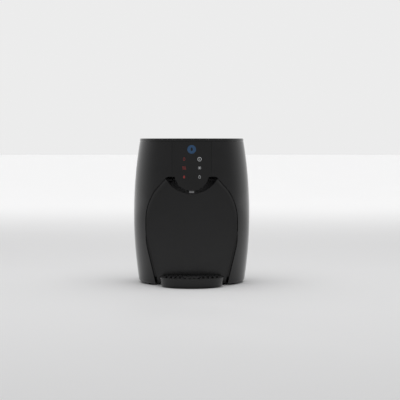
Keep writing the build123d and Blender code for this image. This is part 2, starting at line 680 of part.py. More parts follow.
# ---------------------------------------------------------------- filter
FILTER = (52.0, -38.0)
FILTER_R = 31.0
SOCKET_R = 34.0
SOCKET_FLOOR = 6.0
SOCKET_H = 24.0
FILTER_TOP_Z = 352.0

with BuildPart() as filter_socket:
    post(*FILTER, SHELF_TOP, SHELF_TOP + SOCKET_H, SOCKET_R)
    fillet(filter_socket.edges().filter_by(GeomType.CIRCLE).group_by(Axis.Z)[-1], 1)
    post(*FILTER, SHELF_TOP + SOCKET_FLOOR, 300, FILTER_R + 0.3, mode=Mode.SUBTRACT)
    post(*FILTER, SHELF_Z - 8, SHELF_TOP + 1, PORT_R)
    post(*FILTER, 0, SHELF_TOP + 20, PORT_R - 1, mode=Mode.SUBTRACT)
    rod(FILTER[0], SHELF_TOP + 5, FILTER[1] + SOCKET_R - 2, FILTER[1] + SOCKET_R + 10, 2.9)
keep(filter_socket.part, "filter_socket")

with BuildPart() as filter_cartridge:
    post(*FILTER, SHELF_TOP + SOCKET_FLOOR + 0.3, FILTER_TOP_Z, FILTER_R)
    fillet(filter_cartridge.edges().filter_by(GeomType.CIRCLE).group_by(Axis.Z)[-1], 6)
    with BuildSketch(level(FILTER_TOP_Z - 1, *FILTER)):
        SlotOverall(44, 10)
    extrude(amount=17)
    post(*FILTER, 0, SHELF_TOP + 20, PORT_R - 1, mode=Mode.SUBTRACT)
keep(filter_cartridge.part, "filter_cartridge")

# ---------------------------------------------------------------- pump, valves and power
PUMP_X = 35.0
PUMP_Z = 40.0
PUMP_HEAD_BACK = 4.0
MANIFOLD_D = 69.0
MANIFOLD_Z = (84.0, SHELF_Z - GAP)
VALVES = (("cold", -16.0), ("hot", 16.0))
COIL_LOW_Z = 52.0
PLUNGER_R = 4.0
RUN_Z = 90.0

with BuildPart() as pump_head:
    block((PUMP_X - 18, -28, PUMP_Z - 18), (PUMP_X + 18, PUMP_HEAD_BACK, PUMP_Z + 18))
    fillet(pump_head.edges().filter_by(Axis.Y), 5)
    post(PUMP_X, -10, PUMP_Z + 17, PUMP_Z + 24, PORT_R)
    for side in (-1, 1):
        with Locations(Location(on_axis(PUMP_X + side * 20, -10, PUMP_Z), (0, 90, 0))):
            Cylinder(PORT_R, 8)
keep(pump_head.part, "pump_head")

with BuildPart() as pump_motor:
    rod(PUMP_X, PUMP_Z, PUMP_HEAD_BACK, 58, 17)
    block((PUMP_X - 13, 14, BASE_TOP), (PUMP_X + 13, 46, PUMP_Z - 12))
    rod(PUMP_X, PUMP_Z, 57, 62, 7)
keep(pump_motor.part, "pump_motor")

with BuildPart() as valve_manifold:
    block((-28, -MANIFOLD_D - 13, MANIFOLD_Z[0]), (28, -MANIFOLD_D + 13, MANIFOLD_Z[1]))
    fillet(valve_manifold.edges().filter_by(Axis.Z), 2)
    for _, x in VALVES:
        post(x, -MANIFOLD_D, MANIFOLD_Z[0] - 1, MANIFOLD_Z[0] + 12, PLUNGER_R + 1.5, mode=Mode.SUBTRACT)
    post(0, -66, MANIFOLD_Z[0] + 10, SHELF_Z, 2.2, mode=Mode.SUBTRACT)
keep(valve_manifold.part, "valve_manifold")

for name, x in VALVES:
    with BuildPart() as coil:
        post(x, -MANIFOLD_D, COIL_LOW_Z, MANIFOLD_Z[0], 11)
        block((x - 4, -MANIFOLD_D + 9, COIL_LOW_Z + 4), (x + 4, -MANIFOLD_D + 15, COIL_LOW_Z + 14))
        post(x, -MANIFOLD_D, COIL_LOW_Z + 3, BEYOND, PLUNGER_R + 0.06, mode=Mode.SUBTRACT)
    keep(coil.part, f"{name}_valve_coil")
    with BuildPart() as plunger:
        post(x, -MANIFOLD_D, COIL_LOW_Z + 8, MANIFOLD_Z[0] + 6, PLUNGER_R)
        fillet(plunger.edges().filter_by(GeomType.CIRCLE), 0.5)
    keep(plunger.part, f"{name}_valve_plunger")

with BuildPart() as power_board:
    block((-85, -10, POWER_Z), (-10, 75, POWER_Z + 1.6))
    for x, back in BOARD_FEET:
        post(x, back, 0, 30, 1.3, mode=Mode.SUBTRACT)
keep(power_board.part, "power_board")

CAPACITORS = [(-32, 8, 8, 28), (-32, 28, 8, 28), (-70, -2, 5, 16), (-56, -2, 5, 16)]
with BuildPart() as power_parts:
    top = POWER_Z + 1.6
    block((-78, 10, top), (-48, 38, top + 24))
    block((-40, 44, top), (-18, 70, top + 16))
    block((-74, 50, top), (-50, 56, top + 22))
    for x, back, radius, height in CAPACITORS:
        post(x, back, top, top + height, radius)
keep(power_parts.part, "power_board_components")

with BuildPart() as power_screws:
    for x, back in BOARD_FEET:
        post(x, back, POWER_Z - 5, POWER_Z + 1.6, 1)
        post(x, back, POWER_Z + 1.6, POWER_Z + 3.2, 2.4)
keep(power_screws.part, "power_board_screws")

# ---------------------------------------------------------------- fittings on the back
with BuildPart() as mains_inlet:
    block((MAINS_X - 13.5, 98, FITTINGS_Z - 10), (MAINS_X + 13.5, REAR_D, FITTINGS_Z + 10))
    block((MAINS_X - 16, REAR_D, FITTINGS_Z - 12.5), (MAINS_X + 16, REAR_D + 2, FITTINGS_Z + 12.5))
    fillet(mains_inlet.edges().filter_by(Axis.Y), 1.5)
    with BuildSketch(facing(-REAR_D - 2)):
        with Locations((MAINS_X, FITTINGS_Z)):
            RectangleRounded(24.5, 16.5, 3)
    extrude(amount=18, dir=FORWARDS, mode=Mode.SUBTRACT)
    for x, dz in ((-7, -1), (0, 3), (7, -1)):
        z = FITTINGS_Z + dz
        block((MAINS_X + x - 1, 105, z - 2), (MAINS_X + x + 1, REAR_D - 3, z + 2))
keep(mains_inlet.part, "mains_inlet")

PIVOT_D = REAR_D - 3.6  # the rockers turn on pins this far behind the axis
PIN_R = 1.2
with BuildPart() as switch_bodies:
    for x in SWITCH_X:
        block((x - 6.4, 101, FITTINGS_Z - 9.4), (x + 6.4, REAR_D, FITTINGS_Z + 9.4))
        block((x - 8, REAR_D, FITTINGS_Z - 11), (x + 8, REAR_D + 1.5, FITTINGS_Z + 11))
        block((x - 5.4, 110, FITTINGS_Z - 8.6), (x + 5.4, 130, FITTINGS_Z + 8.6), mode=Mode.SUBTRACT)
        with Locations(Location(on_axis(x, PIVOT_D, FITTINGS_Z), (0, 90, 0))):
            Cylinder(PIN_R, 12)
keep(switch_bodies.part, "switch_bodies")

for name, x in zip(("power_rocker", "hot_water_rocker"), SWITCH_X):
    tilted = Location(on_axis(x, PIVOT_D, FITTINGS_Z), (-8, 0, 0))
    with BuildPart() as rocker:
        with BuildSketch(Plane(tilted) * Plane.YZ.offset(-5)):
            with BuildLine():
                Polyline((-2.4, -7.6), (4, -7.6), (2.4, 0), (4, 7.6), (-2.4, 7.6), close=True)
            make_face()
            Circle(PIN_R + 0.05, mode=Mode.SUBTRACT)
        extrude(amount=10)
    keep(rocker.part, name)

with BuildPart() as water_inlet:
    rod(INLET_X, FITTINGS_Z, 104, REAR_REACH, 7)
    rod(INLET_X, FITTINGS_Z, REAR_D, REAR_D + 3, 9)
    rod(INLET_X, FITTINGS_Z, REAR_D - REAR_COVER_T - 3.5, REAR_D - REAR_COVER_T, 9)
    rod(INLET_X, FITTINGS_Z, REAR_REACH - 16, REAR_REACH + 1, 3.2, mode=Mode.SUBTRACT)
    rod(INLET_X, FITTINGS_Z, 100, REAR_REACH, 2.2, mode=Mode.SUBTRACT)
keep(water_inlet.part, "water_inlet")

with BuildPart() as drain_bush:
    rod(DRAIN_X, FITTINGS_Z, 104, REAR_D + 3, 7)
    rod(DRAIN_X, FITTINGS_Z, REAR_D, REAR_D + 3, 8.8)
    rod(DRAIN_X, FITTINGS_Z, REAR_D - REAR_COVER_T - 3.5, REAR_D - REAR_COVER_T, 8.8)
    rod(DRAIN_X, FITTINGS_Z, 108, REAR_D + 4, 4.5, mode=Mode.SUBTRACT)
    rod(DRAIN_X, FITTINGS_Z, 100, 110, 2.2, mode=Mode.SUBTRACT)
keep(drain_bush.part, "drain_bush")

with BuildPart() as drain_plug:
    rod(DRAIN_X, FITTINGS_Z, 110, REAR_D + 4, 4.44)
    rod(DRAIN_X, FITTINGS_Z, REAR_D + 3 + GAP, REAR_D + 9, 7.5)
    fillet(drain_plug.edges().filter_by(GeomType.CIRCLE).group_by(Axis.Y)[-1], 1)
    for turn in range(8):
        middle = Location(on_axis(DRAIN_X, REAR_D + 7, FITTINGS_Z), (0, turn * 45, 0))
        spot = middle * Location((8, 0, 0))
        with Locations(spot * Location((0, 0, 0), (90, 0, 0))):
            Cylinder(1.2, 8, mode=Mode.SUBTRACT)
keep(drain_plug.part, "drain_plug")

# ---------------------------------------------------------------- water tubes
FILTERED_X = 52.0
TUBES = {
    "inlet_tube": [
        (INLET_X, 104, FITTINGS_Z),
        (INLET_X, 84, FITTINGS_Z),
        (20, 84, 62),
        (20, 84, 118),
        (20, 30, 118),
        (FILTERED_X, 30, 118),
        (FILTERED_X, 6, 118),
    ],
    "filtered_water_tube": [
        (FILTERED_X, -38, 102),
        (FILTERED_X, -38, 82),
        (PUMP_X, -10, 82),
        (PUMP_X, -10, 64),
    ],
    "hot_tank_feed_tube": [(59, -10, PUMP_Z), (78, -10, PUMP_Z), (78, 42, PUMP_Z), (78, 42, 102)],
    "cold_tank_feed_tube": [
        (11, -10, PUMP_Z),
        (-2, -10, PUMP_Z),
        (-2, 88, PUMP_Z),
        (-2, 88, 372),
        (-34, 88, 372),
        (-34, 8, 372),
        (-34, 8, 360),
    ],
    "cold_water_tube": [(-54, 8, 102), (-54, 8, RUN_Z), (-54, -69, RUN_Z), (-28, -69, RUN_Z)],
    "hot_water_tube": [
        (68, 42, 322),
        (68, 42, 342),
        (68, 0, 342),
        (104, -2, 342),
        (104, -2, RUN_Z),
        (76, -2, RUN_Z),
        (76, -69, RUN_Z),
        (28, -69, RUN_Z),
    ],
    "drain_tube": [(DRAIN_X, 104, FITTINGS_Z), (DRAIN_X, 80, FITTINGS_Z), (64, 52, 40), (64, 52, 102)],
    "spout_tube": [
        (0, -66, SHELF_Z - GAP),
        (0, -66, SPOUT_HOLE_Z),
        (0, -NOZZLE_D + NOZZLE_R + 2, SPOUT_HOLE_Z),
    ],
}
for name, points in TUBES.items():
    keep(tube(points), name)
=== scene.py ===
from math import acos, asin, cos, pi, radians, sin, sqrt, tan
import bpy
import bmesh
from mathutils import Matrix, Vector


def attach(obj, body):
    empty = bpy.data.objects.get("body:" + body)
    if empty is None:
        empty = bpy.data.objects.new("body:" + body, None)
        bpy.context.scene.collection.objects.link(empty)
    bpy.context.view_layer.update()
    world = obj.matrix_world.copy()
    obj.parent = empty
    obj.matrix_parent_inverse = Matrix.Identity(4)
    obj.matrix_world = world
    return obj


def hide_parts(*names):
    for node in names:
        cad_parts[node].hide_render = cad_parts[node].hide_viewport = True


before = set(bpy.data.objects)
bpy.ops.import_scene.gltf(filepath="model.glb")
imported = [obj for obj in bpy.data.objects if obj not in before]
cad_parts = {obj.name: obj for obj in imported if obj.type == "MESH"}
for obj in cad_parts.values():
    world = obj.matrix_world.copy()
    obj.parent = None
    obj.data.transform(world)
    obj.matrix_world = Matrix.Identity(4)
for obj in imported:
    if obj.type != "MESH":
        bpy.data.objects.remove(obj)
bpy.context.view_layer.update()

MM = 0.001
AXIS_Y = 33.0  # the barrel's axis behind the origin, in millimetres
CAMERA_AWAY = 3.855  # metres in front of the barrel's axis
CAMERA_HIGH = 0.395
TILT_DOWN = 2.52  # degrees
TURN_RIGHT = 0.34
camera_data = bpy.data.cameras.new("camera")
camera_data.lens = 126.0
camera_data.sensor_width = 36.0
camera = bpy.data.objects.new("camera", camera_data)
bpy.context.scene.collection.objects.link(camera)
camera.location = (0.0, AXIS_Y * MM - CAMERA_AWAY, CAMERA_HIGH)
camera.rotation_euler = (radians(90 - TILT_DOWN), 0.0, radians(-TURN_RIGHT))
bpy.context.scene.camera = camera
bpy.context.scene.view_settings.view_transform = "Standard"


def new_object(name, mesh):
    """Links a mesh to the scene as an object of that name."""
    made = bpy.data.objects.new(name, mesh)
    bpy.context.scene.collection.objects.link(made)
    return made


NOISE_LOW, NOISE_HIGH = 0.3, 0.7  # where most values of a noise texture lie
GRAIN_HIGH = 0.0002  # the height in metres that a full relief stands for


def solid_finish(
    name, colour, roughness, metallic=0.0,
    spread=0.25, tone=0.12, mottle=60.0, grain=900.0, relief=0.05,
):
    """A procedural finish: the colour drifts by tone and the roughness by spread, in shares of
    their values, and a fine grain raises the surface.  mottle and grain are noise scales."""
    material = bpy.data.materials.new(name)
    material.use_nodes = True
    nodes, links = material.node_tree.nodes, material.node_tree.links
    shader = nodes["Principled BSDF"]
    shader.inputs["Metallic"].default_value = metallic
    shader.inputs["IOR"].default_value = 1.46
    place = nodes.new("ShaderNodeTexCoord")
    drift = nodes.new("ShaderNodeTexNoise")
    drift.inputs["Scale"].default_value = mottle
    drift.inputs["Detail"].default_value = 4.0
    links.new(place.outputs["Object"], drift.inputs["Vector"])
    rough = nodes.new("ShaderNodeMapRange")
    rough.inputs["From Min"].default_value = NOISE_LOW
    rough.inputs["From Max"].default_value = NOISE_HIGH
    rough.inputs["To Min"].default_value = roughness * (1 - spread)
    rough.inputs["To Max"].default_value = roughness * (1 + spread)
    links.new(drift.outputs["Fac"], rough.inputs["Value"])
    links.new(rough.outputs["Result"], shader.inputs["Roughness"])
    ramp = nodes.new("ShaderNodeValToRGB")
    ramp.color_ramp.elements[0].position = NOISE_LOW
    ramp.color_ramp.elements[1].position = NOISE_HIGH
    ramp.color_ramp.elements[0].color = (*[c * (1 - tone) for c in colour], 1.0)
    ramp.color_ramp.elements[1].color = (*[min(1.0, c * (1 + tone)) for c in colour], 1.0)
    links.new(drift.outputs["Fac"], ramp.inputs["Fac"])
    links.new(ramp.outputs["Color"], shader.inputs["Base Color"])
    fine = nodes.new("ShaderNodeTexNoise")
    fine.inputs["Scale"].default_value = grain
    fine.inputs["Detail"].default_value = 3.0
    links.new(place.outputs["Object"], fine.inputs["Vector"])
    bump = nodes.new("ShaderNodeBump")
    bump.inputs["Strength"].default_value = relief
    bump.inputs["Distance"].default_value = GRAIN_HIGH
    links.new(fine.outputs["Fac"], bump.inputs["Height"])
    links.new(bump.outputs["Normal"], shader.inputs["Normal"])
    return material


def fade_along_y(tree, coordinate, smoothing, target, near, far, first, last):
    """Drives a socket from first to last as a texture coordinate's Y goes from near to far."""
    place = tree.nodes.new("ShaderNodeTexCoord")
    split = tree.nodes.new("ShaderNodeSeparateXYZ")
    fade = tree.nodes.new("ShaderNodeMapRange")
    fade.interpolation_type = smoothing
    fade.inputs["From Min"].default_value = near
    fade.inputs["From Max"].default_value = far
    fade.inputs["To Min"].default_value = first
    fade.inputs["To Max"].default_value = last
    tree.links.new(place.outputs[coordinate], split.inputs["Vector"])
    tree.links.new(split.outputs["Y"], fade.inputs["Value"])
    tree.links.new(fade.outputs["Result"], target)


FLOOR_R = 30.0
FLOOR_SIDES = 64
WHITE = (1.0, 1.0, 1.0, 1.0)
floor_turns = [2 * pi * k / FLOOR_SIDES for k in range(FLOOR_SIDES)]
floor_ring = [(FLOOR_R * cos(a), FLOOR_R * sin(a), 0.0) for a in floor_turns]
floor_mesh = bpy.data.meshes.new("floor")
floor_mesh.from_pydata(floor_ring, [], [tuple(range(FLOOR_SIDES))])
floor_paint = solid_finish("floor_paint", (0.86, 0.86, 0.865), 0.8, tone=0.01, mottle=2.0)
floor_tree = floor_paint.node_tree
floor_shader = floor_tree.nodes["Principled BSDF"]
floor_shader.inputs["Emission Color"].default_value = WHITE
floor_glow = floor_shader.inputs["Emission Strength"]
fade_along_y(
    floor_tree, "Object", "SMOOTHERSTEP", floor_glow, near=0.3, far=5.0, first=0.0, last=0.39
)
floor_mesh.materials.append(floor_paint)
new_object("floor", floor_mesh)

world = bpy.data.worlds.new("studio")
bpy.context.scene.world = world
world.use_nodes = True
sky = world.node_tree
sky_shader = sky.nodes["Background"]
sky_shader.inputs["Color"].default_value = WHITE
sky_glow = sky_shader.inputs["Strength"]
fade_along_y(
    sky, "Generated", "SMOOTHSTEP", sky_glow, near=-0.2, far=0.8, first=0.46, last=0.84
)


def soft_box(name, place, target, size, watts):
    """A large rectangular light that points at a target and leaves no reflection of itself."""
    lamp = bpy.data.lights.new(name, "AREA")
    lamp.shape = "RECTANGLE"
    lamp.size, lamp.size_y = size
    lamp.energy = watts
    stand = new_object(name, lamp)
    stand.location = place
    stand.visible_glossy = False
    stand.rotation_euler = (Vector(target) - Vector(place)).to_track_quat("-Z", "Y").to_euler()


over_front, at_feet = (0.0, -0.2, 2.6), (0.0, 0.3, 0.0)
soft_box("ceiling_light", over_front, at_feet, size=(3.0, 2.0), watts=26.0)

# ---- Base plate and its dock tabs
# The flat moulding that closes the barrel below and carries the posts for the shelf and the power
# board.  Injection-moulded black plastic with a fine grained face; the shell drops over its edge.
moulded_black = solid_finish(
    "moulded_black", (0.012, 0.012, 0.013), 0.42, grain=1600.0, relief=0.35
)


def paint(material, *names):
    """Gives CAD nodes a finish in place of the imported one."""
    for name in names:
        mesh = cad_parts[name].data
        mesh.materials.clear()
        mesh.materials.append(material)


paint(moulded_black, "base_plate")

# ---- Rubber feet
# Four turned discs of soft black rubber with a rounded edge, pressed into the base plate.  Each is
# the same lathed disc, set out by one node group that this and later repeats share.
FOOT_R = 9.0
FOOT_TOP = 4.3
FOOT_EASE = 1.2
FOOT_EASE_MID = 0.35  # how far in and up the middle of the eased edge lies
FEET = [(-108, -62, 0), (108, -62, 0), (-78, 88, 0), (78, 88, 0)]
POLE_R = 0.01  # the radius at which a turned profile closes on its axis
MERGE = 1e-6


def build(name, points, faces, material, sharp=35.0):
    """An object from points in millimetres counted from the barrel's axis, faces turned outward,
    shaded smooth except across edges sharper than that many degrees."""
    mesh = bpy.data.meshes.new(name)
    mesh.from_pydata([(x * MM, (y + AXIS_Y) * MM, z * MM) for x, y, z in points], [], faces)
    raw = bmesh.new()
    raw.from_mesh(mesh)
    bmesh.ops.remove_doubles(raw, verts=raw.verts, dist=MERGE)
    bmesh.ops.dissolve_degenerate(raw, edges=raw.edges, dist=MERGE)
    bmesh.ops.recalc_face_normals(raw, faces=raw.faces)
    raw.to_mesh(mesh)
    raw.free()
    mesh.shade_smooth()
    mesh.set_sharp_from_angle(angle=radians(sharp))
    mesh.materials.append(material)
    return new_object(name, mesh)


def stack_faces(rings, count, closed=True):
    """Quads between successive rings of count points each; closed joins each ring's ends."""
    faces = []
    for k in range(rings - 1):
        for i in range(count if closed else count - 1):
            j = (i + 1) % count
            faces.append((k * count + i, k * count + j, (k + 1) * count + j, (k + 1) * count + i))
    return faces


def turned(profile, centre_y, segments):
    """Points and faces of (radius, height) pairs turned round the upright line at centre_y; the
    profile is closed on itself."""
    turns = [2 * pi * i / segments for i in range(segments)]
    rings = profile + profile[:1]
    points = [(r * cos(a), centre_y + r * sin(a), z) for r, z in rings for a in turns]
    return points, stack_faces(len(rings), segments)


def bake(piece, *modifiers):
    """Adds modifiers, (type, settings) each, and turns the result into the piece's own mesh."""
    for kind, settings in modifiers:
        modifier = piece.modifiers.new(kind.lower(), kind)
        for setting, value in settings.items():
            setattr(modifier, setting, value)
    bpy.context.view_layer.update()
    graph = bpy.context.evaluated_depsgraph_get()
    baked = bpy.data.meshes.new_from_object(piece.evaluated_get(graph), depsgraph=graph)
    piece.modifiers.clear()
    piece.data = baked
    return piece


def repeat_group():
    """Node group that sets a unit out on a mesh's points, turned and scaled by their attributes."""
    group = bpy.data.node_groups.new("repeat_unit", "GeometryNodeTree")
    group.is_modifier = True
    face = group.interface
    face.new_socket("Places", in_out="INPUT", socket_type="NodeSocketGeometry")
    face.new_socket("Unit", in_out="INPUT", socket_type="NodeSocketObject")
    face.new_socket("Finish", in_out="INPUT", socket_type="NodeSocketMaterial")
    face.new_socket("Geometry", in_out="OUTPUT", socket_type="NodeSocketGeometry")
    nodes, links = group.nodes, group.links
    entry = nodes.new("NodeGroupInput")
    leave = nodes.new("NodeGroupOutput")
    unit = nodes.new("GeometryNodeObjectInfo")
    spread = nodes.new("GeometryNodeInstanceOnPoints")
    turn = nodes.new("GeometryNodeInputNamedAttribute")
    turn.data_type = "FLOAT_VECTOR"
    turn.inputs["Name"].default_value = "turn"
    stretch = nodes.new("GeometryNodeInputNamedAttribute")
    stretch.data_type = "FLOAT_VECTOR"
    stretch.inputs["Name"].default_value = "stretch"
    real = nodes.new("GeometryNodeRealizeInstances")
    finish = nodes.new("GeometryNodeSetMaterial")
    links.new(entry.outputs["Places"], spread.inputs["Points"])
    links.new(entry.outputs["Unit"], unit.inputs["Object"])
    links.new(unit.outputs["Geometry"], spread.inputs["Instance"])
    links.new(turn.outputs["Attribute"], spread.inputs["Rotation"])
    links.new(stretch.outputs["Attribute"], spread.inputs["Scale"])
    links.new(spread.outputs["Instances"], real.inputs["Geometry"])
    links.new(real.outputs["Geometry"], finish.inputs["Geometry"])
    links.new(entry.outputs["Finish"], finish.inputs["Material"])
    links.new(finish.outputs["Geometry"], leave.inputs["Geometry"])
    return group


REPEAT = repeat_group()


def repeats(name, unit, places, material, turns=None, stretches=None):
    """One mesh of a unit set out at places in millimetres from the barrel's axis; the unit is
    then removed."""
    mesh = bpy.data.meshes.new(name)
    mesh.from_pydata([(x * MM, (y + AXIS_Y) * MM, z * MM) for x, y, z in places], [], [])
    for attribute, values, plain in (("turn", turns, (0, 0, 0)), ("stretch", stretches, (1, 1, 1))):
        data = mesh.attributes.new(attribute, "FLOAT_VECTOR", "POINT")
        for i in range(len(places)):
            data.data[i].vector = values[i] if values else plain
    piece = new_object(name, mesh)
    modifier = piece.modifiers.new("repeat", "NODES")
    modifier.node_group = REPEAT
    for item in REPEAT.interface.items_tree:
        if item.in_out == "INPUT" and item.name == "Unit":
            modifier[item.identifier] = unit
        if item.in_out == "INPUT" and item.name == "Finish":
            modifier[item.identifier] = material
    bake(piece)
    for attribute in ("turn", "stretch"):
        if attribute in piece.data.attributes:
            piece.data.attributes.remove(piece.data.attributes[attribute])
    bpy.data.objects.remove(unit)
    return piece


def hand_over(piece, body, slot, *nodes):
    """The piece rides on a body and stands for CAD nodes, which it hides; slot is not used."""
    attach(piece, body)
    if nodes:
        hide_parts(*nodes)


foot_rubber = solid_finish("foot_rubber", (0.01, 0.01, 0.01), 0.75, grain=700.0, relief=0.4)
foot_profile = [(POLE_R, 0.0), (FOOT_R - FOOT_EASE, 0.0), (FOOT_R - FOOT_EASE_MID, FOOT_EASE_MID)]
foot_profile += [(FOOT_R, FOOT_EASE), (FOOT_R, FOOT_TOP), (POLE_R, FOOT_TOP)]
foot = build("foot_unit", *turned(foot_profile, -AXIS_Y, 48), foot_rubber)
hand_over(repeats("foot_pads", foot, FEET, foot_rubber), "housing", "foot_rubber", "rubber_feet")

# ---- Tank shelf, filter socket, manifold and pump head
# Grey moulded parts of glass-filled plastic, screwed to the posts or clipped into the shelf.  Their
# faces keep the mould's fine erosion.
moulded_grey = solid_finish("moulded_grey", (0.22, 0.23, 0.24), 0.5, grain=1200.0, relief=0.3)
paint(moulded_grey, "tank_shelf", "filter_socket", "valve_manifold", "pump_head")

# ---- Cold tank, hot tank, heater band and valve plungers
# Deep-drawn and welded stainless steel, brushed round the drums.  The brushing is a noise that is
# stretched sideways, so its lines run round each drum.
BRUSH_STRETCH = (0.06, 0.06, 3.0)


def brushed_steel(name, colour, roughness):
    """Steel with fine lines that run horizontally."""
    steel = solid_finish(name, colour, roughness, metallic=1.0, tone=0.06, relief=0.25)
    nodes, links = steel.node_tree.nodes, steel.node_tree.links
    place = next(n for n in nodes if n.bl_idname == "ShaderNodeTexCoord")
    stretch = nodes.new("ShaderNodeMapping")
    stretch.inputs["Scale"].default_value = BRUSH_STRETCH
    links.new(place.outputs["Object"], stretch.inputs["Vector"])
    for noise in [n for n in nodes if n.bl_idname == "ShaderNodeTexNoise"]:
        links.new(stretch.outputs["Vector"], noise.inputs["Vector"])
    return steel


tank_steel = brushed_steel("tank_steel", (0.52, 0.52, 0.53), 0.3)
paint(tank_steel, "cold_tank", "hot_tank")
paint(brushed_steel("band_steel", (0.4, 0.38, 0.35), 0.38), "heater_band")
plunger_steel = brushed_steel("plunger_steel", (0.6, 0.6, 0.6), 0.22)
paint(plunger_steel, "cold_valve_plunger", "hot_valve_plunger")

# ---- Foam insulation
# Two half shells of closed-cell foam clasp the cold tank.  The cells show as a coarse open grain.
foam = solid_finish("foam_grey", (0.30, 0.30, 0.31), 0.95, mottle=90.0, grain=420.0, relief=0.9)
paint(foam, "insulation_front", "insulation_rear")

# ---- Cooling block, heat sink and fan
# The thermoelectric block and the finned sink are extruded aluminium with the die's lines along
# them.  The fan's frame, its rotor and the pump's motor are black moulded nylon.
extruded = brushed_steel("extruded_aluminium", (0.66, 0.67, 0.69), 0.35)
paint(extruded, "heat_sink", "cooling_block")
fan_nylon = solid_finish("fan_nylon", (0.02, 0.02, 0.021), 0.5, relief=0.3)
paint(fan_nylon, "fan_frame", "fan_rotor", "pump_motor")

# ---- Filter cartridge
# A white moulded cartridge with a grip bar on top, twisted into its socket.  Satin polypropylene.
filter_white = solid_finish("filter_white", (0.72, 0.73, 0.74), 0.34, tone=0.04, relief=0.12)
paint(filter_white, "filter_cartridge")

# ---- Boards and what is mounted on them
# Green glass-epoxy boards with copper traces under the mask, and dark moulded components soldered
# to them.  The traces are a brick pattern of thin lighter lines.


def board_finish(name):
    """Solder mask over traces."""
    mask = solid_finish(name, (0.012, 0.07, 0.03), 0.35, relief=0.1)
    nodes, links = mask.node_tree.nodes, mask.node_tree.links
    place = next(n for n in nodes if n.bl_idname == "ShaderNodeTexCoord")
    base = next(n for n in nodes if n.bl_idname == "ShaderNodeValToRGB")
    traces = nodes.new("ShaderNodeTexBrick")
    traces.inputs["Scale"].default_value = 130.0
    traces.inputs["Mortar Size"].default_value = 0.03
    for brick_colour in ("Color1", "Color2"):
        traces.inputs[brick_colour].default_value = (0.0, 0.0, 0.0, 1.0)
    traces.inputs["Mortar"].default_value = (0.03, 0.10, 0.03, 1.0)
    links.new(place.outputs["Object"], traces.inputs["Vector"])
    mix = nodes.new("ShaderNodeMix")
    mix.data_type = "RGBA"
    mix.blend_type = "ADD"
    mix.inputs["Factor"].default_value = 1.0
    links.new(base.outputs["Color"], mix.inputs["A"])
    links.new(traces.outputs["Color"], mix.inputs["B"])
    links.new(mix.outputs["Result"], nodes["Principled BSDF"].inputs["Base Color"])
    return mask


paint(board_finish("board_green"), "touch_board", "power_board")
component = solid_finish("component_dark", (0.03, 0.03, 0.034), 0.4, relief=0.2)
paint(component, "power_board_components", "thermostat", "cold_valve_coil", "hot_valve_coil")

# ---- Water tubes and the inner screws
# Extruded white polyethylene tube, slightly waxy, and zinc-plated screws.
tube_white = solid_finish("tube_white", (0.66, 0.67, 0.67), 0.42, tone=0.05, relief=0.08)
tubes = [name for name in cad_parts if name.endswith("_tube")]
paint(tube_white, *tubes)
zinc = solid_finish("zinc_plate", (0.42, 0.42, 0.43), 0.34, metallic=1.0, grain=1500.0, relief=0.2)
paint(zinc, "shelf_screws", "board_screws", "power_board_screws")

# ---- Outer shell
# The barrel: one gloss black injection moulding three millimetres thick, bulging at the middle,
# open to the front where the recess goes in and flat at the back, where a ledge takes the cover.
HEIGHT = 395.0
BELLY_R = 159.0
BELLY_Z = 189.0
PROFILE_R = 1180.0
WALL = 3.0
SEAM = 0.3
FOOT_Z = 3.0
SHELL_TOP = 386.7
REAR_D = 122.0
ARCH_Z = 293.5
SLOT_Z = ARCH_Z + 0.5  # where the head's slot starts, over the recess's flat top
HEAD_SLOT = 52.3
RECESS_W = 124.2
RECESS_FOOT = (92.5, -12)
RECESS_HIP = (120.1, 100)
RECESS_LEAN = (27.6, 112)
UPRIGHT_LOW, UPRIGHT_HIGH = 135, 175  # the heights between which the recess's side is upright
RECESS_SHOULDER = (99, 256)
RECESS_PEAK = (66, ARCH_Z)
PEAK_ROUND = 12
FOOT_ROUND = 8.0
DECK_R = 110.0
DECK_LAP = 0.2  # how far the deck reaches into the wall
DECK_LOW = 0.05  # and how far it lies under the wall's top
INK_BLACK = (0.0045, 0.0045, 0.0049)
gloss_black = solid_finish(
    "gloss_black", INK_BLACK, 0.15, spread=0.22, mottle=28.0, grain=520.0, relief=0.05, tone=0.2
)


def barrel_r(z):
    """Outer radius of the barrel at height z."""
    return BELLY_R - PROFILE_R + sqrt(PROFILE_R**2 - (z - BELLY_Z) ** 2)


def fillet_points(start, corner, end, radius, steps):
    """The arc that rounds a corner between two straight runs, from the first run to the second."""
    a = (Vector(start) - Vector(corner)).normalized()
    b = (Vector(end) - Vector(corner)).normalized()
    half = a.angle(b) / 2
    reach = radius / tan(half)
    middle = Vector(corner) + (a + b).normalized() * (radius / sin(half))
    first = Vector(corner) + a * reach - middle
    last = Vector(corner) + b * reach - middle
    return [middle + first.slerp(last, k / steps) * radius for k in range(steps + 1)]


def arc_through(start, end, tangent, steps):
    """The arc that leaves start along tangent and reaches end, without its first point."""
    start, end, tangent = Vector(start), Vector(end), Vector(tangent).normalized()
    chord = end - start
    normal = Vector((-tangent.y, tangent.x))
    radius = chord.length_squared / (2 * chord.dot(normal))
    centre = start + normal * radius
    first, last = start - centre, end - centre
    return [centre + first.slerp(last, k / steps) * abs(radius) for k in range(1, steps + 1)]


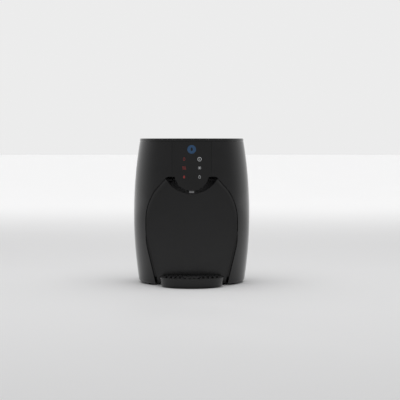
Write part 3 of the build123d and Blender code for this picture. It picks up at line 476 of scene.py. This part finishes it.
def recess_edge():
    """The right half of the recess's outline, from its foot up to the end of the flat top."""
    foot = [Vector(RECESS_FOOT).lerp(Vector(RECESS_HIP), k / 12) for k in range(1, 13)]
    low = arc_through(RECESS_HIP, (RECESS_W, UPRIGHT_LOW), RECESS_LEAN, 5)
    straight = [Vector((RECESS_W, z)) for z in range(UPRIGHT_LOW + 10, UPRIGHT_HIGH + 1, 10)]
    high = arc_through((RECESS_W, UPRIGHT_HIGH), RECESS_SHOULDER, (0, 1), 12)
    slant = [Vector(RECESS_SHOULDER).lerp(Vector(RECESS_PEAK), k / 6) for k in range(1, 5)]
    corner = fillet_points(RECESS_SHOULDER, RECESS_PEAK, (0, ARCH_Z), PEAK_ROUND, 8)
    outline = foot + low + straight + high + slant + corner
    return [point for point in outline if point.y > FOOT_Z + 1]


EDGE = recess_edge()


def edge_x(z):
    """Half width of the recess at height z, and of the head's slot above it."""
    if z > SLOT_Z - 0.1:
        return HEAD_SLOT
    below = [p for p in EDGE if p.y <= z]
    above = [p for p in EDGE if p.y > z]
    if not below:
        return EDGE[0].x
    if not above:
        return EDGE[-1].x
    part = (z - below[-1].y) / (above[0].y - below[-1].y)
    return below[-1].x + part * (above[0].x - below[-1].x)


ROUND_END = FOOT_Z + FOOT_ROUND
foot_r = barrel_r(ROUND_END)
profile = [
    (foot_r - FOOT_ROUND * (1 - cos(a)), FOOT_Z + FOOT_ROUND * (1 - sin(a)), a)
    for a in [radians(90 - 15 * k) for k in range(6)]
]
levels = sorted({round(p.y, 3) for p in EDGE if p.y > ROUND_END + 1})
levels += [SLOT_Z + (SHELL_TOP - SLOT_Z) * k / 16 for k in range(17)]
profile += [(barrel_r(z), z, 0.0) for z in levels]
NEAR, FAR = 18, 46  # spans in front of the turn, which follow the edge, and behind it
TURN = radians(62)


def shell_row(r, z, side):
    """Points of one level, from the recess's edge round to the flat back."""
    first = asin(min(1.0, edge_x(z) / r))
    last = acos(-REAR_D / r)
    angles = [first + (TURN - first) * k / NEAR for k in range(NEAR)]
    angles += [TURN + (last - TURN) * k / FAR for k in range(FAR + 1)]
    return [(side * r * sin(a), -r * cos(a), z) for a in angles]


def border_faces(rows, wide):
    """Quads that close a sheet of points to its copy, all the way round their border."""
    border = list(range(wide)) + [k * wide + wide - 1 for k in range(1, rows)]
    border += [(rows - 1) * wide + k for k in reversed(range(wide - 1))]
    border += [k * wide for k in reversed(range(1, rows - 1))]
    copy = rows * wide
    return [(a, b, copy + b, copy + a) for a, b in zip(border, border[1:] + border[:1])]


def shell_side(side):
    """One closed half of the barrel wall: outer face, inner face and the four edges between."""
    points = []
    for r, z, _ in profile:
        points += shell_row(r, z, side)
    for r, z, lean in profile:
        points += shell_row(r - WALL * cos(lean), z + WALL * sin(lean), side)
    wide, rows = NEAR + FAR + 1, len(profile)
    faces = stack_faces(rows, wide, closed=False)
    inner = rows * wide
    faces += [tuple(inner + v for v in face) for face in faces]
    faces += border_faces(rows, wide)
    return points, faces


def join(*parts):
    """Several (points, faces) as one."""
    points, faces = [], []
    for some_points, some_faces in parts:
        faces += [tuple(len(points) + v for v in face) for face in some_faces]
        points += some_points
    return points, faces


def slab(outer, inner, low, high):
    """A flat closed strip between two open rows of (x, y) points."""
    count = len(outer)
    rows = ((outer, low), (outer, high), (inner, high), (inner, low), (outer, low))
    points = [(x, y, z) for row, z in rows for x, y in row]
    faces = stack_faces(5, count, closed=False)
    for end in (0, count - 1):
        faces.append(tuple(k * count + end for k in range(4)))
    return points, faces


def deck(side):
    """The flat ring under the lid, from the head's slot round to the middle of the back."""
    top_r = barrel_r(SHELL_TOP) - WALL + DECK_LAP
    rim = [(x, y) for x, y, _ in shell_row(top_r, SHELL_TOP, side)]
    rim += [(rim[-1][0] * (1 - k / 12), REAR_D - WALL) for k in range(1, 13)]
    hole = []
    for x, y in rim:
        scale = DECK_R / sqrt(x * x + y * y)
        hole.append((x * scale, y * scale))
    return slab(rim, hole, SHELL_TOP - WALL, SHELL_TOP - DECK_LOW)


def rounded(width, angle):
    """A bevel that rounds the edges sharper than that many degrees."""
    limit = radians(angle)
    return "BEVEL", dict(width=width, segments=3, limit_method="ANGLE", angle_limit=limit)


soft_edge = rounded(0.0007, 40)
shell_points, shell_faces = join(shell_side(-1), shell_side(1), deck(-1), deck(1))
shell = bake(build("shell_skin", shell_points, shell_faces, gloss_black), soft_edge)
hand_over(shell, "housing", "shell_black", "outer_shell")

# ---- Splash liner
# The inner wall of the recess: one gloss black moulding whose back bulges forward and meets the
# sides in a soft corner.  It sits just inside the shell and is clipped behind the recess's edge.
RECESS_D = 96.0
SPLASH_R = 700.0
CORNER_R = 8.0
LINER = 2.5
LINER_FOOT = 7.5
RETURN_STEPS, CORNER_STEPS, ACROSS = 6, 8, 20
WALL_MIDDLE = (0.0, -0.063, 0.15)  # a place on the wall, in metres from the origin
liner_black = solid_finish(
    "liner_black", INK_BLACK, 0.2, spread=0.2, mottle=22.0, grain=520.0, relief=0.05, tone=0.2
)


def splash_y(x):
    """The splash wall's depth at x."""
    return SPLASH_R - RECESS_D - sqrt(SPLASH_R**2 - x * x)


def liner_skin():
    """Rings that follow the recess's outline inwards to the wall, then rows that cross the wall."""
    side = [Vector((edge_x(LINER_FOOT), LINER_FOOT))] + [p for p in EDGE if p.y > LINER_FOOT + 1]
    top = [Vector((side[-1].x * (1 - 2 * k / ACROSS), side[-1].y)) for k in range(1, ACROSS)]
    outline = [Vector((-p.x, p.y)) for p in side] + [Vector((-p.x, p.y)) for p in top]
    outline += [Vector((p.x, p.y)) for p in reversed(side)]
    inward = []
    for k, point in enumerate(outline):
        before = outline[max(0, k - 1)]
        after = outline[min(len(outline) - 1, k + 1)]
        along = (after - before).normalized()
        inward.append(Vector((along.y, -along.x)))
    inward[0], inward[-1] = Vector((1, 0)), Vector((-1, 0))
    rings = []
    for step in range(RETURN_STEPS + 1):
        part = step / RETURN_STEPS
        ring = []
        for point in outline:
            front = -sqrt((barrel_r(point.y) - WALL - SEAM) ** 2 - point.x**2)
            back = splash_y(point.x) - CORNER_R
            ring.append((point.x, front + (back - front) * part, point.y))
        rings.append(ring)
    for step in range(1, CORNER_STEPS + 1):
        angle = radians(90) * step / CORNER_STEPS
        ring = []
        for point, normal in zip(outline, inward):
            moved = point + normal * CORNER_R * (1 - cos(angle))
            depth = splash_y(moved.x) - CORNER_R * (1 - sin(angle))
            ring.append((moved.x, depth, moved.y))
        rings.append(ring)
    points = [point for ring in rings for point in ring]
    faces = stack_faces(len(rings), len(outline), closed=False)
    last = (len(rings) - 1) * len(outline)
    count = len(side)
    rows = []
    for k in range(count - 1):
        left, right = rings[-1][k], rings[-1][len(outline) - 1 - k]
        row = [last + k]
        for j in range(1, ACROSS):
            x = left[0] + (right[0] - left[0]) * j / ACROSS
            row.append(len(points))
            points.append((x, splash_y(x), left[2] + (right[2] - left[2]) * j / ACROSS))
        row.append(last + len(outline) - 1 - k)
        rows.append(row)
    rows.append([last + count - 1 + j for j in range(ACROSS + 1)])
    for below, above in zip(rows, rows[1:]):
        for j in range(ACROSS):
            faces.append((below[j], below[j + 1], above[j + 1], above[j]))
    return points, faces


def face_the_room(mesh):
    """Turns an open sheet so that the face at the middle of the wall looks forwards."""
    sheet = bmesh.new()
    sheet.from_mesh(mesh)
    middle = Vector(WALL_MIDDLE)
    nearest = min(sheet.faces, key=lambda face: (face.calc_center_median() - middle).length)
    if nearest.normal.y > 0:
        bmesh.ops.reverse_faces(sheet, faces=sheet.faces)
    sheet.to_mesh(mesh)
    sheet.free()


skin = build("liner_skin", *liner_skin(), liner_black)
face_the_room(skin.data)
skin.data.shade_smooth()
thick = ("SOLIDIFY", dict(thickness=LINER * MM, offset=-1.0))
bake(skin, thick, soft_edge)
hand_over(skin, "housing", "liner_black", "splash_liner")

# ---- Rear cover, its screws and its fittings
# A textured black plate with a stack of louvres, held by six pan-head screws.  Below the louvres
# sit the mains inlet, two rocker switches, the water inlet and the drain.
SCREW_PAIRS = [(74.0, 70.0), (74.0, 300.0), (40.0, 376.0)]
REAR_SCREWS = [(side * x, z) for x, z in SCREW_PAIRS for side in (-1, 1)]
SCREW_TURN = 17  # degrees between one screw's recess and the next one's
rear_black = solid_finish(
    "rear_black", (0.014, 0.014, 0.015), 0.5, mottle=40.0, grain=1300.0, relief=0.6
)
paint(rear_black, "rear_cover", "switch_bodies", "mains_inlet", "drain_bush", "drain_plug")
rocker_black = solid_finish("rocker_black", (0.01, 0.01, 0.01), 0.28, relief=0.15)
paint(rocker_black, "power_rocker", "hot_water_rocker")
fitting_white = solid_finish("fitting_white", (0.55, 0.56, 0.56), 0.4, relief=0.12)
paint(fitting_white, "water_inlet")


def with_brick(piece, operation, low, high):
    """Adds a box between two corners to the piece or cuts it away, and bakes the result."""
    plan = ((low[0], low[1]), (high[0], low[1]), (high[0], high[1]), (low[0], high[1]))
    corners = [(x, y, z) for z in (low[2], high[2]) for x, y in plan]
    faces = [(3, 2, 1, 0), (4, 5, 6, 7)]
    faces += [(k, (k + 1) % 4, (k + 1) % 4 + 4, k + 4) for k in range(4)]
    tool = build("brick", corners, faces, piece.data.materials[0])
    bake(piece, ("BOOLEAN", dict(operation=operation, object=tool, solver="EXACT")))
    bpy.data.objects.remove(tool)


def screw_unit(name, radius, high, shank_r, shank, material):
    """A pan-head screw that stands on its head's seat, with a cross recess cut into the head."""
    rim, crown = high * 0.45, high * 0.55
    dome = [(shank_r, -shank), (shank_r, 0.0), (radius, 0.0), (radius, rim)]
    for a in [radians(15 * k) for k in range(1, 6)]:
        dome.append((radius * cos(a), rim + crown * sin(a)))
    dome += [(POLE_R, high), (POLE_R, -shank)]
    screw = build(name, *turned(dome, -AXIS_Y, 28), material)
    long, short = radius * 1.1 / 2, radius * 0.22 / 2
    for x, y in ((long, short), (short, long)):
        corner = (x, y - AXIS_Y, high * 2)
        with_brick(screw, "DIFFERENCE", (-x, -y - AXIS_Y, high * 0.35), corner)
    return screw


screw = screw_unit("screw_unit", radius=3.0, high=1.8, shank_r=1.5, shank=4.9, material=zinc)
places = [(x, REAR_D, z) for x, z in REAR_SCREWS]
turns = [(radians(-90), radians(SCREW_TURN * k), 0.0) for k in range(len(places))]
rear_screws = repeats("rear_screws", screw, places, zinc, turns)
hand_over(rear_screws, "housing", "screw_steel", "rear_cover_screws")

# ---- Dispensing head
# The casing that fills the slot in the barrel and flares back under the canopy to the splash wall,
# with the nozzle's socket below.  Gloss black like the shell; thin seams show on either side.
paint(gloss_black, "head_housing")

# ---- Touch panel
# A mirror-gloss cover over the head's tongue: straight sides, a round lower end, two millimetres
# thick with softened edges, glued on proud of the barrel.
TONGUE_R = 45.0
TONGUE_Z = 301.5
PROUD = 6.0
PANEL_T = 2.0
COLUMNS = 24
panel_colour = (0.004, 0.004, 0.0044)
panel_black = solid_finish(
    "panel_black", panel_colour, 0.08, spread=0.3, mottle=34.0, grain=400.0, relief=0.02, tone=0.2
)
round_end = [radians(1 + 89 * k / 24) for k in range(25)]
ends = [(TONGUE_R * sin(a), TONGUE_Z - TONGUE_R * cos(a)) for a in round_end]
ends += [(TONGUE_R, TONGUE_Z + (SHELL_TOP - TONGUE_Z) * k / 10) for k in range(1, 11)]


def panel_sheet(proud):
    """Rows across the panel at that distance in front of the barrel's face."""
    rows = []
    for half, z in ends:
        for k in range(COLUMNS + 1):
            x = half * (2 * k / COLUMNS - 1)
            rows.append((x, -sqrt((barrel_r(z) + proud) ** 2 - x * x), z))
    return rows


sheet_faces = stack_faces(len(ends), COLUMNS + 1, closed=False)
panel_count = len(ends) * (COLUMNS + 1)
panel_points = panel_sheet(PROUD) + panel_sheet(PROUD - PANEL_T)
panel_faces = sheet_faces + [tuple(panel_count + v for v in face) for face in sheet_faces]
panel_faces += border_faces(len(ends), COLUMNS + 1)
panel = build("panel_skin", panel_points, panel_faces, panel_black)
bake(panel, rounded(0.0006, 50))
hand_over(panel, "housing", "panel_black", "touch_panel")

# ---- Touch symbols and the indicator
# Printed marks a fifth of a millimetre proud of the panel: red water marks on the left, pale marks
# on the right, and a muted blue disc with a drop left open in it above them.
MARK_T = 0.2
LOOP_TURNS = [2 * pi * k / 32 for k in range(32)]
DROP_WIDE, DROP_TALL, DROP_RISE = 0.62, 0.78, 0.1  # shares of a drop's size
DROP_TIP, DROP_BELLY, DROP_CURVE = 0.42, 0.58, 1.3
WAVE_STEPS = 15
WAVE_BEND = 0.9
STAR_R = 4.6
STAR_LINE = 0.9


def mark_finish(name, colour, glow):
    """Printed ink with a faint light behind it."""
    ink = solid_finish(name, colour, 0.35, tone=0.15, mottle=300.0, relief=0.05)
    shader = ink.node_tree.nodes["Principled BSDF"]
    shader.inputs["Emission Color"].default_value = (*colour, 1.0)
    shader.inputs["Emission Strength"].default_value = glow
    return ink


def strip(outer, inner, closed=True):
    """A flat band between two rows of (x, z) points, laid on the panel and given its thickness;
    closed joins the rows' ends."""
    count = len(outer)
    points = []
    for lift in (0.0, MARK_T):
        for row in (outer, inner):
            for x, z in row:
                points.append((x, -sqrt((barrel_r(z) + PROUD + lift) ** 2 - x * x), z))
    faces = []
    for k in range(count if closed else count - 1):
        j = (k + 1) % count
        faces.append((k, j, count + j, count + k))
        faces.append((2 * count + k, 2 * count + j, 3 * count + j, 3 * count + k))
        faces.append((k, j, 2 * count + j, 2 * count + k))
        faces.append((count + k, count + j, 3 * count + j, 3 * count + k))
    for k in () if closed else (0, count - 1):
        faces.append((k, count + k, 3 * count + k, 2 * count + k))
    return points, faces


def drop_loop(x, z, size):
    """A water drop's outline, point up."""
    loop = []
    for a in LOOP_TURNS:
        pinch = DROP_TIP + DROP_BELLY * sin(a / 2) ** DROP_CURVE
        across = size * DROP_WIDE * sin(a) * pinch
        loop.append((x + across, z + size * (cos(a) * DROP_TALL + DROP_RISE)))
    return loop


def ring_loop(x, z, radius):
    """A circle's outline."""
    return [(x + radius * sin(a), z + radius * cos(a)) for a in LOOP_TURNS]


def shrunk(loop, x, z, share):
    """The loop drawn in towards (x, z) to a share of its size."""
    return [(x + (px - x) * share, z + (pz - z) * share) for px, pz in loop]


def drop_mark(x, z, size, line):
    """A drop drawn with a line of that width."""
    loop = drop_loop(x, z, size)
    return strip(loop, shrunk(loop, x, z, 1 - line / size))


def full_mark(loop, x, z):
    """A filled shape round (x, z)."""
    return strip(loop, shrunk(loop, x, z, 0.02))


def wave_mark(x, z, high, line):
    """A small upright wisp of steam."""
    left, right = [], []
    for k in range(WAVE_STEPS + 1):
        t = k / WAVE_STEPS
        bend = WAVE_BEND * sin(2 * pi * t)
        left.append((x + bend - line / 2, z + high * (t - 0.5)))
        right.append((x + bend + line / 2, z + high * (t - 0.5)))
    return strip(left, right, closed=False)


def star_arm(x, z, angle):
    """One line of a star, across (x, z) at that many degrees."""
    a = radians(angle)
    dx, dz = STAR_R * cos(a), STAR_R * sin(a)
    nx, nz = -STAR_LINE / 2 * sin(a), STAR_LINE / 2 * cos(a)
    arm = [(x - dx, z - dz), (x + dx, z + dz)]
    left = [(px + nx, pz + nz) for px, pz in arm]
    right = [(px - nx, pz - nz) for px, pz in arm]
    return strip(left, right, closed=False)


HOT_X, COLD_X = -20.0, 20.8
TOP_ROW, MIDDLE_ROW, LOW_ROW = 340.0, 317.0, 293.0
hot_marks = [drop_mark(HOT_X, TOP_ROW, size=5.6, line=1.5)]
hot_marks += [wave_mark(HOT_X + dx, MIDDLE_ROW, high=9.0, line=1.3) for dx in (-3.2, 0.0, 3.2)]
hot_marks += [full_mark(drop_loop(HOT_X, LOW_ROW, size=5.2), HOT_X, LOW_ROW)]
red_ink = mark_finish("red_ink", (0.18, 0.018, 0.018), 0.3)
hand_over(build("hot_marks", *join(*hot_marks), red_ink), "housing", "panel_black")

ring_out, ring_in = [ring_loop(COLD_X, TOP_ROW, radius) for radius in (5.4, 4.2)]
cold_marks = [strip(ring_out, ring_in)]
cold_marks += [full_mark(drop_loop(COLD_X, TOP_ROW, size=1.8), COLD_X, TOP_ROW)]
cold_marks += [star_arm(COLD_X, MIDDLE_ROW, angle) for angle in (0, 60, 120)]
cold_marks += [drop_mark(COLD_X, LOW_ROW, size=5.6, line=1.4)]
pale_ink = mark_finish("pale_ink", (0.40, 0.41, 0.42), 0.3)
hand_over(build("cold_marks", *join(*cold_marks), pale_ink), "housing", "panel_black")

INDICATOR_Z, INDICATOR_R, INDICATOR_DROP = 366.0, 11.5, 6.0
blue_ink = mark_finish("blue_ink", (0.014, 0.045, 0.10), 0.35)
drop_hole = drop_loop(0.0, INDICATOR_Z, INDICATOR_DROP)
disc = strip(ring_loop(0.0, INDICATOR_Z, INDICATOR_R), drop_hole)
hand_over(build("indicator", *disc, blue_ink), "housing", "panel_black")

# ---- Nozzle
# A turned brass spout with a bright chrome finish and a rounded lip, pushed up into its socket.
NOZZLE_D = 149.0
BORE_R, SPOUT_R, GROOVE_R = 4.0, 8.0, 7.7
SPOUT_LOW, SPOUT_TOP = 250.5, 270.0
chrome_colour = (0.20, 0.20, 0.205)
chrome = solid_finish(
    "nozzle_chrome", chrome_colour, 0.2, metallic=1.0, tone=0.04, relief=0.03
)
lip = [(BORE_R, 250.9), (4.4, SPOUT_LOW), (6.6, SPOUT_LOW), (7.4, 250.8), (7.85, 251.5)]
groove = [(SPOUT_R, 255.6), (GROOVE_R, 255.9), (GROOVE_R, 256.5), (SPOUT_R, 256.8)]
spout_profile = lip + [(SPOUT_R, 252.3)] + groove + [(SPOUT_R, SPOUT_TOP), (BORE_R, SPOUT_TOP)]
spout = build("nozzle_spout", *turned(spout_profile, -NOZZLE_D, 48), chrome)
hand_over(spout, "nozzle", "nozzle_chrome", "nozzle")

# ---- Drip tray
# An oval cup that pushes in under the nozzle on two dock tabs, with a pocket for each.  Gloss black
# moulding with sides that lean in towards the foot, a flat rim and a ledge inside for the grille.
TRAY_W = 86.5
TRAY_BULGE_D = 130.0
TRAY_FRONT = 200.0
RIM_Z = 26.0
DRAFT = tan(radians(13))
TRAY_WALL = 2.4
TRAY_BACK_W = 80.0
TRAY_BACK_D = 97.0  # at the middle of the back
TRAY_CORNER_D = 92.0
TRAY_CORNER_R = 4.0
TRAY_KNEE = (60.0, 95.0)  # where the back's curve takes over from the corner
DOCK_X = 40.0
BOSS_HALF, BOSS_FRONT, BOSS_BACK, BOSS_TOP = 9.3, 108.0, 99.0, 10.0
POCKET_HALF, POCKET_FRONT, POCKET_BACK, POCKET_TOP = 7.3, 106.0, 80.0, 7.3
BACK_STEPS = (60, 45, 30, 15, 0, -15, -30, -45, -60)
tray_black = solid_finish(
    "tray_black", INK_BLACK, 0.22, spread=0.2, mottle=40.0, grain=600.0, relief=0.06, tone=0.2
)


def tray_loop(z, inset):
    """The tray's plan at height z: an oval front, sides that draw in, a back along the wall."""
    wide, deep = TRAY_W - inset, TRAY_FRONT - TRAY_BULGE_D - inset
    turns = [radians(-90 + 5 * k) for k in range(37)]
    loop = [(wide * sin(a), -TRAY_BULGE_D - deep * cos(a)) for a in turns]
    flank, corner = (wide, -TRAY_BULGE_D), (TRAY_BACK_W - inset, -TRAY_CORNER_D - inset)
    behind = (TRAY_KNEE[0], -TRAY_KNEE[1] - inset)
    loop += [tuple(p) for p in fillet_points(flank, corner, behind, TRAY_CORNER_R, 6)]
    bulge = TRAY_BACK_D - TRAY_CORNER_D
    loop += [(x, -TRAY_BACK_D - inset + bulge * (x / TRAY_BACK_W) ** 2) for x in BACK_STEPS]
    flank, corner, behind = [(-x, y) for x, y in (flank, corner, behind)]
    loop += [tuple(p) for p in fillet_points(behind, corner, flank, TRAY_CORNER_R, 6)]
    return [(x, y, z) for x, y in loop]


def filled_stack(loops):
    """Closed skin of successive loops whose first and last are filled."""
    count = len(loops[0])
    points = [point for loop in loops for point in loop]
    faces = stack_faces(len(loops), count)
    faces += [tuple(range(count)), tuple((len(loops) - 1) * count + k for k in range(count))]
    return points, faces


TRAY_LOW, HEEL_Z, FLOOR_Z, MID_Z, LEDGE_Z = 0.5, 4.0, 3.0, 14.0, 23.0
LEDGE = 2.0
HEEL_IN = (RIM_Z - HEEL_Z) * DRAFT
ledge_in = TRAY_WALL + LEDGE
tray_levels = [(TRAY_LOW, HEEL_IN + 3.5), (HEEL_Z, HEEL_IN), (MID_Z, (RIM_Z - MID_Z) * DRAFT)]
tray_levels += [(RIM_Z, 0.0), (RIM_Z, TRAY_WALL), (LEDGE_Z, TRAY_WALL), (LEDGE_Z, ledge_in)]
tray_levels += [(FLOOR_Z, ledge_in + (LEDGE_Z - FLOOR_Z) * DRAFT)]
tray_loops = [tray_loop(z, inset) for z, inset in tray_levels]
tray = build("tray_cup_skin", *filled_stack(tray_loops), tray_black)
for middle in (-DOCK_X, DOCK_X):
    boss_low = (middle - BOSS_HALF, -BOSS_FRONT, TRAY_LOW)
    with_brick(tray, "UNION", boss_low, (middle + BOSS_HALF, -BOSS_BACK, BOSS_TOP))
    pocket_low = (middle - POCKET_HALF, -POCKET_FRONT, -1.0)
    with_brick(tray, "DIFFERENCE", pocket_low, (middle + POCKET_HALF, -POCKET_BACK, POCKET_TOP))
bake(tray, rounded(0.0008, 55))
hand_over(tray, "tray", "tray_black", "drip_tray")

# ---- Drip grille
# A loose plate of rounded bars in an oval rim, with a round rest for the cup.  Satin black moulding
# that drops onto the tray's ledge; the bars are one unit repeated across.
SLOTS = 12
PITCH = 12.15
BAR_W = PITCH - 6.0
RIM_OUT, RIM_IN = 2.7, 9.4  # the rim's two edges, counted in from the tray's edge
OUT_EASE, IN_EASE = 0.4, 0.5
SLOT_BACK = 103.0
GRILLE_LOW = LEDGE_Z
REST_R = 26.0
REST_D = TRAY_BULGE_D + 4.0
REST_TOP = RIM_Z + 0.8
REST_STEP = 2.0  # how far in from its edge the rest rises to its top
BAR_EASE = 1.2
BAR_TUCK = (2.0, 4.0)  # how far a bar reaches into the rim, in front and behind
grille_black = solid_finish(
    "grille_black", (0.028, 0.028, 0.029), 0.45, spread=0.2, mottle=60.0, grain=900.0, relief=0.12
)
rim_levels = [(GRILLE_LOW, RIM_OUT), (RIM_Z - OUT_EASE, RIM_OUT), (RIM_Z, RIM_OUT + OUT_EASE)]
rim_levels += [(RIM_Z, RIM_IN - IN_EASE), (RIM_Z - IN_EASE, RIM_IN), (GRILLE_LOW, RIM_IN)]
band = [tray_loop(z, inset) for z, inset in rim_levels + rim_levels[:1]]
rim_skin = ([point for loop in band for point in loop], stack_faces(len(band), len(band[0])))
rest = [(REST_R, GRILLE_LOW), (REST_R, RIM_Z), (REST_R - REST_STEP, RIM_Z)]
rest += [(REST_R - REST_STEP - OUT_EASE, REST_TOP), (POLE_R, REST_TOP), (POLE_R, GRILLE_LOW)]
shoulder_x, shoulder_z = BAR_W / 2 - BAR_EASE, RIM_Z - BAR_EASE
bar_profile = [(-BAR_W / 2, GRILLE_LOW), (BAR_W / 2, GRILLE_LOW), (BAR_W / 2, shoulder_z)]
for a in [radians(22.5 * k) for k in range(1, 5)]:
    bar_profile.append((shoulder_x + BAR_EASE * cos(a), shoulder_z + BAR_EASE * sin(a)))
bar_profile += [(-x, z) for x, z in reversed(bar_profile[2:])]
bar_points = [(x, y - AXIS_Y, z - GRILLE_LOW) for y in (-0.5, 0.5) for x, z in bar_profile]
bar_count = len(bar_profile)
bar_faces = stack_faces(2, bar_count)
bar_faces += [tuple(range(bar_count)), tuple(range(bar_count, 2 * bar_count))]
bar = build("bar_unit", bar_points, bar_faces, grille_black, sharp=50.0)
places, stretches = [], []
for k in range(SLOTS + 1):
    x = (k - SLOTS / 2) * PITCH
    reach = sqrt(max(0.05, 1 - (x / (TRAY_W - RIM_IN + 1.0)) ** 2))
    front = TRAY_BULGE_D + (TRAY_FRONT - TRAY_BULGE_D - RIM_IN) * reach + BAR_TUCK[0]
    back = SLOT_BACK - BAR_TUCK[1]
    places.append((x, -(front + back) / 2, GRILLE_LOW))
    stretches.append((1.0, front - back, 1.0))
bars = repeats("grille_bars", bar, places, grille_black, stretches=stretches)
hand_over(bars, "grille", "tray_black")
grille_rim = build("grille_rim", *join(rim_skin, turned(rest, -REST_D, 64)), grille_black)
hand_over(grille_rim, "grille", "tray_black", "drip_grille")

# ---- Lid
# A loose cover over the deck: one flat gloss black moulding with a rounded top edge, whose front
# carries the tongue's end.  A ring underneath drops into the deck's opening.
LID_Z = 387.0
LID_ROUND = 3.0
LID_WALL = 2.5
SPIGOT = 4.0
SPIGOT_WALL = 3.0
lid_r = barrel_r(LID_Z)


def lid_loop(z, inset):
    """The lid's plan: the tongue's end, a step on either side, the circle, and the flat back."""
    half, back = TONGUE_R - inset, REAR_D - inset
    near, far = lid_r + PROUD - inset, lid_r - inset
    front = [(half * k / 9, -sqrt(near**2 - (half * k / 9) ** 2)) for k in range(-9, 10)]
    first, last = asin(half / far), acos(-back / far)
    turns = [first + (last - first) * k / 56 for k in range(57)]
    around = [(far * sin(a), -far * cos(a)) for a in turns]
    flat = [(around[-1][0] * (1 - 2 * k / 16), back) for k in range(1, 16)]
    mirrored = [(-x, y) for x, y in reversed(around)]
    return [(x, y, z) for x, y in front + around + flat + mirrored]


def scaled(loop, share, z):
    """A loop drawn in towards the barrel's axis to a share of its size, at height z."""
    return [(x * share, y * share, z) for x, y, _ in loop]


lid_levels = [(LID_Z, 4.0), (LID_Z, 0.0), (HEIGHT - LID_ROUND, 0.0)]
for a in [radians(15 * k) for k in range(1, 7)]:
    lid_levels.append((HEIGHT - LID_ROUND * (1 - sin(a)), LID_ROUND * (1 - cos(a))))
loops = [lid_loop(z, inset) for z, inset in lid_levels]
loops += [scaled(loops[-1], 1 - k / 12, HEIGHT) for k in range(1, 12)]
under = [scaled(loops[0], share, HEIGHT - LID_WALL) for share in (0.02, 0.5, 1.0)]
lid_skin = filled_stack(under + loops)
ring_out, ring_in = DECK_R - SEAM, DECK_R - SEAM - SPIGOT_WALL
low, high = LID_Z - SPIGOT, HEIGHT - 3.0
ring_profile = [(ring_out, low), (ring_out, high), (ring_in, high), (ring_in, low)]
lid = build("lid_skin", *join(lid_skin, turned(ring_profile, 0.0, 96)), gloss_black)
bake(lid, soft_edge)
hand_over(lid, "lid", "shell_black", "top_lid")
